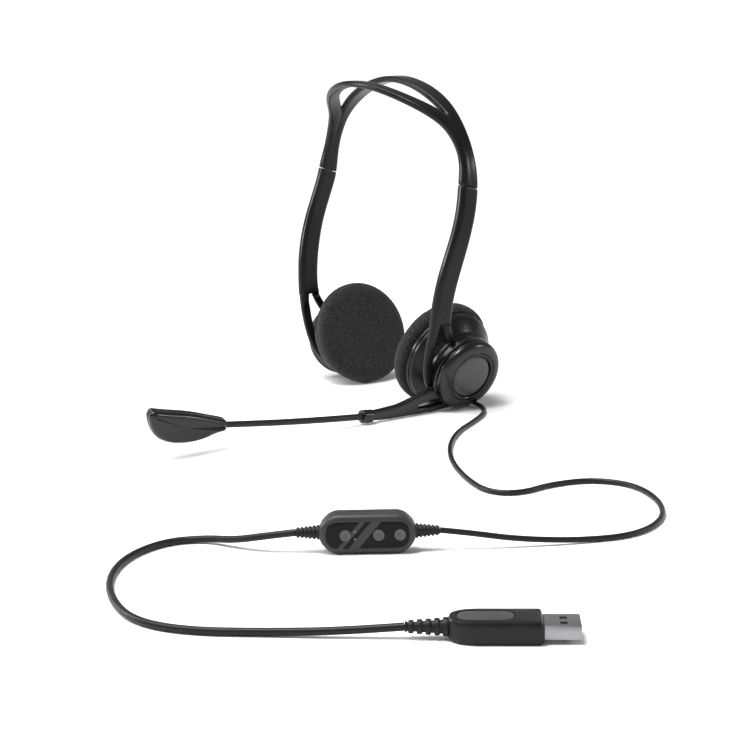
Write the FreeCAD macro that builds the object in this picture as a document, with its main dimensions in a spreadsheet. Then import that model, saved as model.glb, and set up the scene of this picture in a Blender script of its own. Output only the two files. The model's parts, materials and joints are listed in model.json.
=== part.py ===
import FreeCAD, Part
import math
import os
import Sketcher

# Office headset: two on-ear cups on wishbone arms, a split headband that slides in the arms, a swinging
# microphone boom, and a cord with an in-line control and a USB plug. Millimetres, +Z up. The headset
# stands on its pads at Z = 0, +X is the boom's side and -Y is the wearer's front.

V = FreeCAD.Vector
doc = FreeCAD.newDocument("OfficeHeadset")

# name: (value, meaning). Lengths in millimetres, angles in degrees.
DIMENSIONS = {
    "ear_y": (74.73, "ear axis behind the middle of the headset"),
    "ear_z": (28.19, "ear axis above the table"),
    "ear_x": (29.5, "middle of a pad's face from the centre plane"),
    "cup_tilt": (18.5, "each cup faces upwards by this angle"),
    "pad_radius": (27.5, "foam pad"),
    "pad_depth": (10.5, "foam pad"),
    "pad_round": (4.6, "rounding of the foam pad"),
    "baffle_radius": (25.0, "speaker baffle"),
    "baffle_depth": (2.5, "speaker baffle"),
    "shell_radius": (24.5, "cup shell at the baffle"),
    "shell_depth": (8.0, "cup shell"),
    "shell_rim": (1.5, "straight rim of the cup shell"),
    "wall": (1.6, "cup shell wall"),
    "driver_radius": (16.0, "speaker driver frame"),
    "driver_depth": (1.9, "speaker driver frame"),
    "magnet_radius": (9.5, "speaker magnet"),
    "magnet_depth": (3.4, "speaker magnet"),
    "recess_radius": (14.0, "baffle recess behind the grille"),
    "recess_depth": (0.9, "baffle recess behind the grille"),
    "film_depth": (0.4, "speaker diaphragm"),
    "hub_radius": (18.6, "back of the cup and arm hub"),
    "hub_depth": (3.0, "arm hub"),
    "hub_bore": (4.0, "hole in the arm hub"),
    "ring_gap": (0.2, "play on each side of the boom ring"),
    "ring_radius": (18.5, "boom ring and cover"),
    "ring_depth": (3.6, "boom ring"),
    "washer_depth": (0.2, "friction washer"),
    "boss_radius": (9.0, "boss that the boom ring turns on"),
    "running_play": (0.05, "radial play of the boom ring on its boss"),
    "cover_depth": (5.2, "cup cover"),
    "cover_round": (3.7, "rounding of the cup cover"),
    "cap_radius": (11.0, "cap disc"),
    "cap_depth": (1.1, "cap disc"),
    "cap_recess": (1.6, "recess in the cover for cap and bezel"),
    "bezel_width": (1.9, "trim ring round the cap"),
    "screw_radius": (1.5, "hub screw shank"),
    "screw_head": (2.8, "hub screw head radius"),
    "screw_head_depth": (1.6, "hub screw head"),
    "tongue_width": (5.6, "steel slider tongue"),
    "tongue_depth": (1.4, "steel slider tongue"),
    "tongue_reach": (28.0, "tongue inside the arm"),
    "tongue_root": (7.0, "tongue inside the headband"),
    "slide_play": (0.3, "play of the tongue in the arm, each side"),
    "seam_gap": (0.25, "gap between arm and headband"),
    "boom_tube_radius": (1.55, "boom tube"),
    "collar_radius": (3.3, "boom collar"),
    "collar_length": (6.0, "boom collar"),
    "mic_depth": (7.6, "microphone head across"),
    "gland_radius": (2.0, "cord gland"),
    "gland_length": (6.4, "cord gland"),
    "cord_upper_diameter": (2.3, "cord from cup to control"),
    "cord_lower_diameter": (2.8, "cord from control to plug"),
    "control_length": (36.5, "in-line control"),
    "control_height": (15.5, "in-line control"),
    "control_depth": (9.8, "in-line control"),
    "control_corner": (4.5, "slanted corner of the control"),
    "control_wall": (1.4, "control case wall"),
    "control_end_wall": (3.1, "solid end of the control case"),
    "control_floor": (3.3, "solid bottom and top of the control case"),
    "control_screw_at": (16.6, "control screw from the middle"),
    "thread_radius": (0.8, "control screw shank"),
    "lamp_radius": (0.42, "mute lamp"),
    "board_depth": (1.2, "circuit boards"),
    "membrane_depth": (0.6, "rubber sheet under the buttons"),
    "plate_length": (31.4, "glossy plate on the control"),
    "plate_height": (10.2, "glossy plate on the control"),
    "plate_depth": (1.0, "glossy plate on the control"),
    "plate_recess": (0.8, "recess for the glossy plate"),
    "button_radius": (2.15, "control buttons"),
    "button_play": (0.1, "play of a button in its hole"),
    "button_proud": (0.7, "button above the case face"),
    "button_flange": (0.5, "flange that holds a button in"),
    "relief_length": (9.0, "control strain relief"),
    "plug_length": (31.0, "plug body"),
    "plug_width": (15.0, "plug body"),
    "plug_height": (8.0, "plug body"),
    "plug_neck": (5.0, "tapered end of the plug body"),
    "plug_neck_half": (3.6, "half width of the plug body at the cord"),
    "insert_length": (18.6, "label panel on the plug"),
    "insert_width": (8.4, "label panel on the plug"),
    "insert_recess": (0.6, "recess for the label panel"),
    "plug_relief_length": (14.0, "plug strain relief"),
    "usb_width": (12.0, "USB type A shell"),
    "usb_height": (4.5, "USB type A shell"),
    "usb_length": (12.0, "USB type A shell"),
    "usb_wall": (0.35, "USB type A shell"),
}


def fill_sheet():
    sheet = doc.addObject("Spreadsheet::Sheet", "Sizes")
    for row, (name, (value, meaning)) in enumerate(DIMENSIONS.items(), start=1):
        sheet.set(f"A{row}", name)
        sheet.set(f"B{row}", str(value))
        sheet.set(f"C{row}", meaning)
        sheet.setAlias(f"B{row}", name)
    doc.recompute()
    return sheet


class Size:
    """A length that knows its number and the sheet expression that gives it."""

    def __init__(self, value, text):
        self.value = value
        self.text = text

    def _join(self, other, sign, result):
        right = other.text if isinstance(other, Size) else str(other)
        return Size(result, f"({self.text} {sign} {right})")

    def __add__(self, other):
        return self._join(other, "+", self.value + float(other))

    def __sub__(self, other):
        return self._join(other, "-", self.value - float(other))

    def __mul__(self, other):
        return self._join(other, "*", self.value * float(other))

    def __truediv__(self, other):
        return self._join(other, "/", self.value / float(other))

    def __float__(self):
        return float(self.value)


sheet = fill_sheet()
size = {name: Size(float(sheet.get(name)), f"Sizes.{name}") for name in DIMENSIONS}
num = {name: float(entry) for name, entry in size.items()}
ZERO = Size(0.0, "0")

# Depths along a cup's axis, measured outwards from the pad's face.
at_baffle = size["pad_depth"]
at_shell = at_baffle + size["baffle_depth"]
at_hub = at_shell + size["shell_depth"]
at_ring = at_hub + size["hub_depth"] + size["ring_gap"]
at_cover = at_ring + size["ring_depth"] + size["ring_gap"] * 2
at_face = at_cover + size["cover_depth"]
at_recess = at_face - size["cap_recess"]

TILT = math.radians(num["cup_tilt"])
EAR = V(0, num["ear_y"], num["ear_z"])


def cup_point(front, up, depth):
    """A point by the left cup's own directions, from the ear axis on the centre plane."""
    x = num["ear_x"] + depth * math.cos(TILT) + up * math.sin(TILT)
    return V(x, -front, up * math.cos(TILT) - depth * math.sin(TILT))


OUTWARD = cup_point(0, 0, 1) - cup_point(0, 0, 0)
nodes = []


def finish(item, label, placement=None):
    """Name a sub-part, place it and put it on the list of pieces to write."""
    item.Label = label
    if placement is not None:
        item.Placement = placement
    nodes.append(item)
    return item


def cup_placement(side):
    """Local Z runs outwards along the cup's axis and the local origin is the middle of the pad's face."""
    turn = FreeCAD.Rotation(V(0, 1, 0), side * (90 + num["cup_tilt"]))
    return FreeCAD.Placement(EAR + V(side * num["ear_x"], 0, 0), turn)


# ---- small builders -------------------------------------------------------------------------------


def bind(item, **sizes):
    for prop, entry in sizes.items():
        item.setExpression(prop, entry.text)


def origin_plane(body, role):
    return next(item for item in body.Origin.OriginFeatures if item.Role == role)


def add_sketch(body, name, role):
    sketch = body.newObject("Sketcher::SketchObject", name)
    sketch.AttachmentSupport = [(origin_plane(body, role), "")]
    sketch.MapMode = "FlatFace"
    return sketch


def pin_corner(sketch, line, corner):
    """Tie the start of one line to the sheet, as two distances from the sketch's origin."""
    for kind, entry in zip(("DistanceX", "DistanceY"), corner):
        index = sketch.addConstraint(Sketcher.Constraint(kind, -1, 1, line, 1, float(entry)))
        sketch.setExpression(f"Constraints[{index}]", entry.text if isinstance(entry, Size) else str(entry))


def draw_outline(sketch, corners):
    points = [V(float(x), float(y), 0) for x, y in corners]
    count = len(points)
    for index, point in enumerate(points):
        sketch.addGeometry(Part.LineSegment(point, points[(index + 1) % count]), False)
    for index in range(count):
        sketch.addConstraint(Sketcher.Constraint("Coincident", index, 2, (index + 1) % count, 1))
    for index, corner in enumerate(corners):
        pin_corner(sketch, index, corner)


def revolved(name, corners):
    """A turned piece: its outline is given as (radius, depth) corners."""
    body = doc.addObject("PartDesign::Body", name)
    sketch = add_sketch(body, name + "_outline", "XZ_Plane")
    draw_outline(sketch, corners)
    turn = body.newObject("PartDesign::Revolution", name + "_turn")
    turn.Profile = sketch
    turn.ReferenceAxis = (sketch, ["V_Axis"])
    turn.Angle = 360
    doc.recompute()
    return body


def plate(name, corners, depth, role="XY_Plane", reverse=False):
    """A flat piece padded from an outline on one of the body's own planes."""
    body = doc.addObject("PartDesign::Body", name)
    sketch = add_sketch(body, name + "_outline", role)
    draw_outline(sketch, corners)
    pad = body.newObject("PartDesign::Pad", name + "_pad")
    pad.Profile = sketch
    pad.Reversed = reverse
    bind(pad, Length=depth)
    doc.recompute()
    return body


def polar_holes(body, name, radius, distance, count):
    """A ring of round holes through a turned piece."""
    sketch = add_sketch(body, name + "_circle", "XY_Plane")
    sketch.addGeometry(Part.Circle(V(distance, 0, 0), V(0, 0, 1), radius), False)
    sketch.addConstraint(Sketcher.Constraint("Radius", 0, radius))
    sketch.addConstraint(Sketcher.Constraint("DistanceX", -1, 1, 0, 3, distance))
    sketch.addConstraint(Sketcher.Constraint("PointOnObject", 0, 3, -1))
    hole = body.newObject("PartDesign::Pocket", name)
    hole.Profile = sketch
    hole.Type = 1
    hole.Midplane = True
    pattern = body.newObject("PartDesign::PolarPattern", name + "_ring")
    pattern.Originals = [hole]
    pattern.Axis = (sketch, ["N_Axis"])
    pattern.Angle = 360
    pattern.Occurrences = count
    body.Tip = pattern
    doc.recompute()


def cylinder(name, radius, height, placement=None):
    item = doc.addObject("Part::Cylinder", name)
    bind(item, Radius=radius, Height=height)
    if placement is not None:
        item.Placement = placement
    return item


def block(name, length, width, height, corner):
    item = doc.addObject("Part::Box", name)
    bind(item, Length=length, Width=width, Height=height)
    item.Placement = FreeCAD.Placement(corner, FreeCAD.Rotation())
    return item


def cut(name, base, tools):
    """Take one or more tools away from a base."""
    if len(tools) > 1:
        tool = doc.addObject("Part::MultiFuse", name + "_tools")
        tool.Shapes = tools
    else:
        tool = tools[0]
    item = doc.addObject("Part::Cut", name)
    item.Base = base
    item.Tool = tool
    return item


def rounded(name, base, radius, wanted):
    """Round the edges of a base that pass a test."""
    doc.recompute()
    item = doc.addObject("Part::Fillet", name)
    item.Base = base
    picked = [i for i, edge in enumerate(base.Shape.Edges, start=1) if wanted(edge)]
    item.Edges = [(index, float(radius), float(radius)) for index in picked]
    return item


def feature(label, shape, placement):
    item = doc.addObject("Part::Feature", label)
    item.Shape = shape
    return finish(item, label, placement.multiply(shape.Placement))


def is_circle(edge, radius, depth):
    curve = edge.Curve
    if not hasattr(curve, "Radius"):
        return False
    near = abs(curve.Radius - float(radius)) < 0.01
    return near and abs(edge.BoundBox.Center.z - float(depth)) < 0.01


# ---- freeform limbs and tubes ---------------------------------------------------------------------


def rounded_section(centre, across, through, width, depth):
    """A closed rounded rectangle round a centre, as wide along one direction and as deep along another."""
    corner = 0.42 * depth
    ring = []
    signs = ((1, 1), (-1, 1), (-1, -1), (1, -1))
    for a, b in signs:
        middle = centre + across * (a * (width / 2 - corner)) + through * (b * (depth / 2 - corner))
        start = middle + (across * (a * corner) if a * b > 0 else through * (b * corner))
        end = middle + (through * (b * corner) if a * b > 0 else across * (a * corner))
        bulge = middle + (across * a + through * b) * (corner * math.sqrt(0.5))
        ring.append((start, bulge, end))
    edges = []
    for index, (start, bulge, end) in enumerate(ring):
        edges.append(Part.Arc(start, bulge, end).toShape())
        edges.append(Part.LineSegment(end, ring[(index + 1) % 4][0]).toShape())
    return Part.Wire(edges)


def limb(stations, side_way, first=None, last=None):
    """A smooth moulded bar through stations of (centre, width, depth). Its width lies along side_way."""
    points = [station[0] for station in stations]
    wires = []
    for index, (centre, width, depth) in enumerate(stations):
        ahead = points[min(index + 1, len(points) - 1)]
        behind = points[max(index - 1, 0)]
        along = (ahead - behind).normalize()
        if index == 0 and first is not None:
            along = first
        if index == len(points) - 1 and last is not None:
            along = last
        across = (side_way - along * side_way.dot(along)).normalize()
        wires.append(rounded_section(centre, across, along.cross(across), width, depth))
    return Part.makeLoft(wires, True, False)


def tube_path(points):
    """Straight runs joined by tangent arcs, each arc as large as its two runs allow."""
    edges = []
    radii = []
    start = points[0]
    for before, corner, after in zip(points, points[1:], points[2:]):
        back = before - corner
        ahead = after - corner
        reach = 0.45 * min(back.Length, ahead.Length)
        back.normalize()
        ahead.normalize()
        turn = math.pi - back.getAngle(ahead)
        radius = reach / math.tan(turn / 2)
        radii.append(radius)
        bisector = (back + ahead).normalize()
        middle = corner + bisector * (radius / math.cos(turn / 2) - radius)
        edges.append(Part.LineSegment(start, corner + back * reach).toShape())
        edges.append(Part.Arc(corner + back * reach, middle, corner + ahead * reach).toShape())
        start = corner + ahead * reach
    edges.append(Part.LineSegment(start, points[-1]).toShape())
    return Part.Wire(edges), radii


def tube(name, points, radius):
    """A round tube along a route. Its bends and its volume are printed and compared."""
    path, radii = tube_path(points)
    along = (points[1] - points[0]).normalize()
    ring = Part.Wire([Part.Circle(points[0], along, radius).toShape()])
    solid = path.makePipeShell([ring], True, False)
    expected = math.pi * radius ** 2 * path.Length
    print(f"{name}: length {path.Length:.1f}, tightest bend {min(radii):.1f}, "
          f"volume {solid.Volume:.1f} against {expected:.1f}")
    return solid


# ---- cups -----------------------------------------------------------------------------------------


def make_pad(name, side):
    base = cylinder(name + "_block", size["pad_radius"], size["pad_depth"])
    pad = rounded(name + "_foam", base, size["pad_round"], lambda edge: hasattr(edge.Curve, "Radius"))
    finish(pad, name, cup_placement(side))


def make_baffle(name, side):
    zero, deep = at_baffle, at_shell
    shelf = deep - size["recess_depth"]
    body = revolved(name, [
        (ZERO, zero), (size["baffle_radius"], zero), (size["baffle_radius"], deep),
        (size["recess_radius"], deep), (size["recess_radius"], shelf), (ZERO, shelf)])
    polar_holes(body, name + "_outer_hole", 1.3, 10.5, 12)
    polar_holes(body, name + "_inner_hole", 1.3, 5.5, 6)
    finish(body, name, cup_placement(side))


def make_diaphragm(name, side):
    low = at_shell - size["recess_depth"] + 0.1
    high = low + size["film_depth"]
    rim = size["recess_radius"] - 0.4
    body = revolved(name, [(ZERO, low), (rim, low), (rim, high), (rim * 0.6, high + 0.15), (ZERO, high)])
    finish(body, name, cup_placement(side))


def make_driver(name, side):
    back = at_shell + size["driver_depth"]
    end = back + size["magnet_depth"]
    body = revolved(name, [
        (ZERO, at_shell), (size["driver_radius"], at_shell), (size["driver_radius"], back),
        (size["magnet_radius"], back), (size["magnet_radius"], end), (ZERO, end)])
    finish(body, name, cup_placement(side))


def make_cup_shell(name, side):
    bore = size["screw_radius"] + 0.1
    inside = at_hub - size["wall"]
    shoulder = at_shell + size["shell_rim"]
    body = revolved(name, [
        (size["shell_radius"], at_shell), (size["shell_radius"], shoulder), (size["hub_radius"], at_hub),
        (bore, at_hub), (bore, inside), (size["hub_radius"] - size["wall"], inside),
        (size["shell_radius"] - size["wall"], shoulder), (size["shell_radius"] - size["wall"], at_shell)])
    finish(body, name, cup_placement(side))


def make_cover(name, side):
    """The domed outer cover, with the boss that the boom ring turns on and a recess for the cap."""
    bore = size["screw_radius"] + 0.1
    start = at_hub + size["hub_depth"]
    seat = at_recess - size["screw_head_depth"] - 0.3
    body = revolved(name + "_turned", [
        (bore, start), (size["boss_radius"], start), (size["boss_radius"], at_cover),
        (size["ring_radius"], at_cover), (size["ring_radius"], at_face),
        (size["cap_radius"] + size["bezel_width"] + 0.3, at_face),
        (size["cap_radius"] + size["bezel_width"] + 0.3, at_recess),
        (size["screw_head"] + 0.2, at_recess), (size["screw_head"] + 0.2, seat), (bore, seat)])
    cover = rounded(name + "_domed", body, size["cover_round"],
                    lambda edge: is_circle(edge, size["ring_radius"], at_face))
    finish(cover, name, cup_placement(side))


def make_bezel(name, side):
    inner = size["cap_radius"] + 0.25
    outer = inner + size["bezel_width"]
    top = at_face - 0.1
    body = revolved(name, [
        (inner, at_recess), (outer, at_recess), (outer, top - 0.5), (outer - 0.5, top),
        (inner + 0.6, top), (inner, top - 0.6)])
    finish(body, name, cup_placement(side))


def make_cap(name, side):
    top = at_recess + size["cap_depth"]
    body = revolved(name, [
        (ZERO, at_recess), (size["cap_radius"], at_recess), (size["cap_radius"], top - 0.3),
        (size["cap_radius"] - 0.3, top), (ZERO, top)])
    finish(body, name, cup_placement(side))


def make_hub_screw(name, side):
    start = at_hub - size["wall"]
    head = at_recess - size["screw_head_depth"] - 0.3
    body = revolved(name, [
        (ZERO, start), (size["screw_radius"], start), (size["screw_radius"], head),
        (size["screw_head"], head), (size["screw_head"], at_recess - 0.3), (ZERO, at_recess - 0.3)])
    finish(body, name, cup_placement(side))


def turned_ring(name, inner, outer, low, high, side):
    body = revolved(name, [(inner, low), (outer, low), (outer, high), (inner, high)])
    finish(body, name, cup_placement(side))


# ---- arms and headband ----------------------------------------------------------------------------

# Centre line of the left arm from the headband seam down to the cup: point from the ear axis, width
# from front to back and depth from inside to outside.
ARM_STEM = [
    (V(61.1, -2.3, 84.5), 10.4, 5.8),
    (V(63.1, -6.1, 70), 10.4, 5.8),
    (V(63.4, -11.3, 55), 10.8, 5.8),
    (V(61.8, -15.4, 41), 11.2, 5.8),
    (V(59.9, -17.6, 28), 11.2, 5.5),
    (V(58.4, -18.0, 18.5), 12.2, 5.0),
]
FRONT_LEG = [
    (V(58.9, -20.9, 22), 5.0, 4.8),
    (V(56.6, -21.6, 10.5), 5.0, 4.6),
    (V(53.6, -21.6, 1), 4.8, 4.2),
    (V(50.9, -20.3, -7.5), 4.6, 3.8),
    (V(48.4, -16.8, -14.5), 4.4, 3.4),
]
REAR_LEG = [
    (V(58.7, -14.6, 21), 4.6, 4.8),
    (V(57.1, -12.7, 14.5), 4.2, 4.4),
    (V(55.6, -9.6, 9), 4.6, 4.0),
    (V(54.3, -5.2, 4.5), 5.4, 3.4),
]
SWEPT_RADIUS = 45.0      # the boom turns past the arm in this disc, which is kept free
SWEPT_DEPTH = 12.0
SLIDE = (ARM_STEM[0][0] - V(63.4, -11.3, 55)).normalize()
SEAM = ARM_STEM[0][0]

# The two strips of the headband, from the left seam to the middle of the top.
REAR_STRIP = [
    (V(61.1, -0.9, 84.5), 7.6, 5.8),
    (V(60.0, 0.0, 91.9), 6.6, 5.3),
    (V(57.6, 0.5, 100.2), 5.8, 4.7),
    (V(52.8, 0.6, 109.4), 5.8, 4.2),
    (V(44.8, 0.3, 118.6), 7.4, 3.8),
    (V(33.2, 0.2, 126.4), 9.2, 3.4),
    (V(17.6, 0.1, 132.4), 9.6, 3.2),
]
FRONT_STRIP = [
    (V(61.1, -4.0, 84.5), 7.0, 5.8),
    (V(60.0, -3.2, 91.9), 5.8, 5.3),
    (V(57.6, -2.5, 100.2), 5.4, 4.7),
    (V(52.8, -3.7, 109.4), 5.6, 4.2),
    (V(44.8, -8.0, 118.6), 7.2, 3.8),
    (V(33.2, -16.6, 126.0), 7.0, 3.4),
    (V(17.6, -22.6, 131.4), 7.0, 3.2),
]
REAR_TOP = (V(0, 0.0, 134.9), 9.8, 3.2)
FRONT_TOP = (V(0, -25.0, 133.4), 7.0, 3.2)


def mirrored(shape):
    return shape.mirror(V(0, 0, 0), V(1, 0, 0))


def tongue_block(play):
    """The steel tongue, or with play the slot that it slides in. It lies along the slide from the seam."""
    width = num["tongue_width"] + 2 * play
    depth = num["tongue_depth"] + 2 * play
    reach = num["tongue_reach"] + (2.0 if play else 0.0)
    root = 1.0 if play else num["tongue_root"]
    box = Part.makeBox(depth, width, reach + root, V(-depth / 2, -width / 2, -reach))
    side = (V(0, 1, 0) - SLIDE * SLIDE.y).normalize()
    turn = FreeCAD.Rotation(side.cross(SLIDE), side, SLIDE, "ZYX")
    box.Placement = FreeCAD.Placement(SEAM, turn)
    return box


def arm_shape():
    """Stem, two legs round the window and the hub behind the boom ring, moulded in one."""
    stem = limb(ARM_STEM, V(0, 1, 0), first=SLIDE * -1)
    front = limb(FRONT_LEG, V(0, 1, 0))
    rear = limb(REAR_LEG, V(0, 1, 0))
    low = float(at_hub)
    hub = Part.makeCylinder(num["hub_radius"], num["hub_depth"], cup_point(0, 0, low), OUTWARD)
    bore = Part.makeCylinder(num["hub_bore"], num["hub_depth"] + 2, cup_point(0, 0, low - 1), OUTWARD)
    inside = Part.makeCylinder(num["hub_radius"] + 12, 14, cup_point(0, 0, low - 14), OUTWARD)
    swept = Part.makeCylinder(SWEPT_RADIUS, SWEPT_DEPTH, cup_point(0, 0, low + num["hub_depth"]), OUTWARD)
    legs = front.fuse(rear).cut(inside)
    return stem.fuse([legs, hub]).cut([bore, swept, tongue_block(num["slide_play"])]).removeSplitter()


def on_seam(point):
    """The point moved along the slide to the headband's end face."""
    return point + SLIDE * (num["seam_gap"] - (point - SEAM).dot(SLIDE))


def strip_shape(half, top):
    """One strip of the headband from seam to seam."""
    (start, width, depth), *rest = half
    half = [(on_seam(start), width, depth)] + rest
    other = [(V(-point.x, point.y, point.z), width, depth) for point, width, depth in reversed(half)]
    down = V(-SLIDE.x, SLIDE.y, SLIDE.z) * -1
    return limb(half + [top] + other, V(0, 1, 0), first=SLIDE, last=down)


def make_arms():
    left = arm_shape()
    place = FreeCAD.Placement(EAR, FreeCAD.Rotation())
    feature("left_arm", left, place)
    feature("right_arm", mirrored(left), place)


def make_headband():
    place = FreeCAD.Placement(EAR, FreeCAD.Rotation())
    tongue = tongue_block(0)
    band = strip_shape(REAR_STRIP, REAR_TOP).fuse(strip_shape(FRONT_STRIP, FRONT_TOP))
    band = band.cut(tongue).cut(mirrored(tongue))
    feature("headband", band, place)
    feature("left_slider_tongue", tongue, place)
    feature("right_slider_tongue", mirrored(tongue), place)


# ---- microphone boom ------------------------------------------------------------------------------

# The boom lies in the plane of its ring: (front, up, depth) from the left cup's axis.
RING_MIDDLE = float(at_ring) + num["ring_depth"] / 2
UPPER_LEG = [
    ((9, -12.5), 7.0), ((18, -10.6), 6.4), ((29, -13.4), 6.0), ((42, -16.2), 4.8), ((52, -16.9), 4.6)]
LOWER_LEG = [
    ((0, -15.6), 5.0), ((12, -18.4), 4.0), ((24, -18.8), 3.4), ((37, -18.4), 4.0), ((52, -17.4), 4.4)]
WEB = [((26, -15.4), 6.0), ((36, -16.4), 6.8), ((46, -16.8), 6.0), ((56, -16.9), 5.4)]
COLLAR_FROM = cup_point(53.5, -17.1, RING_MIDDLE)
TUBE_ROUTE = [
    cup_point(56, -16.9, RING_MIDDLE),
    cup_point(80, -14.8, RING_MIDDLE - 0.5),
    cup_point(106, -12.8, RING_MIDDLE - 2.2),
    cup_point(137.5, -10.1, RING_MIDDLE - 5.0),
]
SOCKET_DEPTH = 8.0
MIC_MIDDLE = RING_MIDDLE - 5.0
MIC_ARCS = [
    [(134.5, -7.4), (154, -1.9), (172.6, 3.8)],
    [(172.6, 3.8), (176.2, 2.6), (175.2, -2.6)],
    [(175.2, -2.6), (171.8, -9.4), (163.5, -14.2)],
    [(163.5, -14.2), (154, -15.9), (145.0, -14.6)],
]
MIC_NECK = (134.5, -12.8)
CAPSULE_AT = (158, -5.0)
CAPSULE = (4.5, 4.6)     # radius and depth
PORT_RADIUS = 3.2
SCREEN_DEPTH = 1.2


def boom_leg(stations, depth):
    return limb([(cup_point(f, u, RING_MIDDLE), width, depth) for (f, u), width in stations],
                cup_point(0, 1, 0) - cup_point(0, 0, 0))


def make_boom_root():
    """Ring, two legs round a window and the collar that holds the tube."""
    depth = num["ring_depth"]
    low = cup_point(0, 0, float(at_ring))
    ring = Part.makeCylinder(num["ring_radius"], depth, low, OUTWARD)
    bore = Part.makeCylinder(num["boss_radius"] + num["running_play"], depth + 2, low - OUTWARD, OUTWARD)
    along = (TUBE_ROUTE[1] - TUBE_ROUTE[0]).normalize()
    collar = Part.makeCylinder(num["collar_radius"], num["collar_length"], COLLAR_FROM, along)
    hole = Part.makeCylinder(num["boom_tube_radius"], 30, TUBE_ROUTE[0], along)
    legs = [boom_leg(UPPER_LEG, depth), boom_leg(LOWER_LEG, depth), boom_leg(WEB, depth)]
    shape = ring.fuse(legs + [collar]).cut(bore).cut(hole)
    feature("boom_root", shape, FreeCAD.Placement(EAR, FreeCAD.Rotation()))


def make_boom_tube():
    feature("boom_tube", tube("boom_tube", TUBE_ROUTE, num["boom_tube_radius"]),
            FreeCAD.Placement(EAR, FreeCAD.Rotation()))


def mic_outline(depth):
    def at(point):
        return cup_point(point[0], point[1], depth)
    edges = [Part.Arc(*[at(point) for point in arc]).toShape() for arc in MIC_ARCS]
    edges.append(Part.LineSegment(at(MIC_ARCS[-1][-1]), at(MIC_NECK)).toShape())
    edges.append(Part.LineSegment(at(MIC_NECK), at(MIC_ARCS[0][0])).toShape())
    return Part.Face(Part.Wire(edges))


def make_microphone():
    """Two half shells round a capsule, with a screened port on the side towards the mouth."""
    place = FreeCAD.Placement(EAR, FreeCAD.Rotation())
    half = num["mic_depth"] / 2
    radius, depth = CAPSULE
    gap = 0.1

    def disc(size_across, low, thick):
        return Part.makeCylinder(size_across, thick, cup_point(*CAPSULE_AT, MIC_MIDDLE + low), OUTWARD)

    back = (TUBE_ROUTE[-2] - TUBE_ROUTE[-1]).normalize()
    socket = Part.makeCylinder(num["boom_tube_radius"], SOCKET_DEPTH, TUBE_ROUTE[-1], back)
    core = disc(radius + gap, -depth / 2 - gap, depth + 2 * gap)
    inner = mic_outline(MIC_MIDDLE - half).extrude(OUTWARD * half)
    outer = mic_outline(MIC_MIDDLE).extrude(OUTWARD * half)
    feature("microphone_inner_shell", inner.cut([core, socket, disc(PORT_RADIUS, -half - 1, half)]), place)
    feature("microphone_outer_shell", outer.cut([core, socket]), place)
    feature("microphone_capsule", disc(radius, -depth / 2, depth), place)
    feature("microphone_screen", disc(PORT_RADIUS - gap, -half, SCREEN_DEPTH), place)


# ---- cord -----------------------------------------------------------------------------------------

# Places on the table are (x, y) from the point under the ear axis, with the height above the table.
TABLE = V(0, num["ear_y"], 0)
GLAND_START = V(37.6, 8.5, 2.4)
CORD_UPPER = [
    (44.0, 8.5, 2.4), (53, 8.7, 1.5), (63, 6.2, 1.3), (73, -2.6, 1.3), (82, -16.5, 1.3), (92, -33.5, 1.3),
    (109, -52, 1.3), (132, -69, 1.3), (158, -81.5, 1.3), (181, -88, 1.3), (191, -78, 1.3),
    (188.5, -60, 1.3), (194, -41, 1.3), (211, -32.5, 1.3), (235, -41, 1.3), (254, -58, 1.3),
    (262, -80, 1.3), (254.5, -101, 1.3), (243, -123, 3.2), (233, -139.7, 6.6)]
CORD_LOWER = [
    (189.5, -201.0, 6.6), (177, -208.5, 3.2), (164, -213, 1.6), (157.5, -228, 1.5),
    (165, -248, 1.5), (182, -264, 1.5), (205, -274.5, 1.5), (228, -278, 1.5), (247, -268.5, 1.5),
    (265, -247, 1.5), (281, -228.5, 2.4)]
CONTROL_WAY = V(0.574, 0.819, 0).normalize()
CONTROL_AT = V(211.4, -170.5, 0)
PLUG_AT = V(301.6, -202.5, 0)
PLUG_ANGLE = 52.0


def table_points(rows):
    return [TABLE + V(*row) for row in rows]


def control_end(way):
    """Where a cord meets the strain relief at one end of the control."""
    reach = num["control_length"] / 2 + num["relief_length"]
    return TABLE + CONTROL_AT + CONTROL_WAY * (way * reach) + V(0, 0, num["control_height"] / 2)


def plug_end():
    """Where the lower cord meets the plug's strain relief."""
    along = FreeCAD.Rotation(V(0, 0, 1), PLUG_ANGLE).multVec(V(1, 0, 0))
    return TABLE + PLUG_AT - along * num["plug_relief_length"] + V(0, 0, num["plug_height"] / 2)


def make_cords():
    ground = FreeCAD.Placement()
    upper_route = table_points(CORD_UPPER) + [control_end(1)]
    lower_route = [control_end(-1)] + table_points(CORD_LOWER) + [plug_end()]
    upper = tube("cord_upper", upper_route, num["cord_upper_diameter"] / 2)
    lower = tube("cord_lower", lower_route, num["cord_lower_diameter"] / 2)
    feature("cord_upper", upper, ground)
    feature("cord_lower", lower, ground)


def make_gland():
    """A stub low on the back of the left cup, trimmed to the cup shell's slope."""
    stub = Part.makeCylinder(num["gland_radius"], num["gland_length"], TABLE + GLAND_START, V(1, 0, 0))
    slope = Part.makeCone(num["shell_radius"], num["hub_radius"],
                          num["shell_depth"] - num["shell_rim"],
                          EAR + cup_point(0, 0, float(at_shell) + num["shell_rim"]), OUTWARD)
    feature("cord_gland", stub.cut(slope), FreeCAD.Placement())


# ---- in-line control ------------------------------------------------------------------------------

BUTTONS = {"mute_button": -8.3, "volume_down_button": 4.2, "volume_up_button": 12.2}
LAMPS = ((-4.7, 1.45), (-4.7, -1.45))


def control_placement():
    """Local X runs along the cord, local Z is up and the buttons face local -Y."""
    turn = FreeCAD.Rotation(V(0, 0, 1), math.degrees(math.atan2(CONTROL_WAY.y, CONTROL_WAY.x)))
    return FreeCAD.Placement(TABLE + CONTROL_AT, turn)


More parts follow.
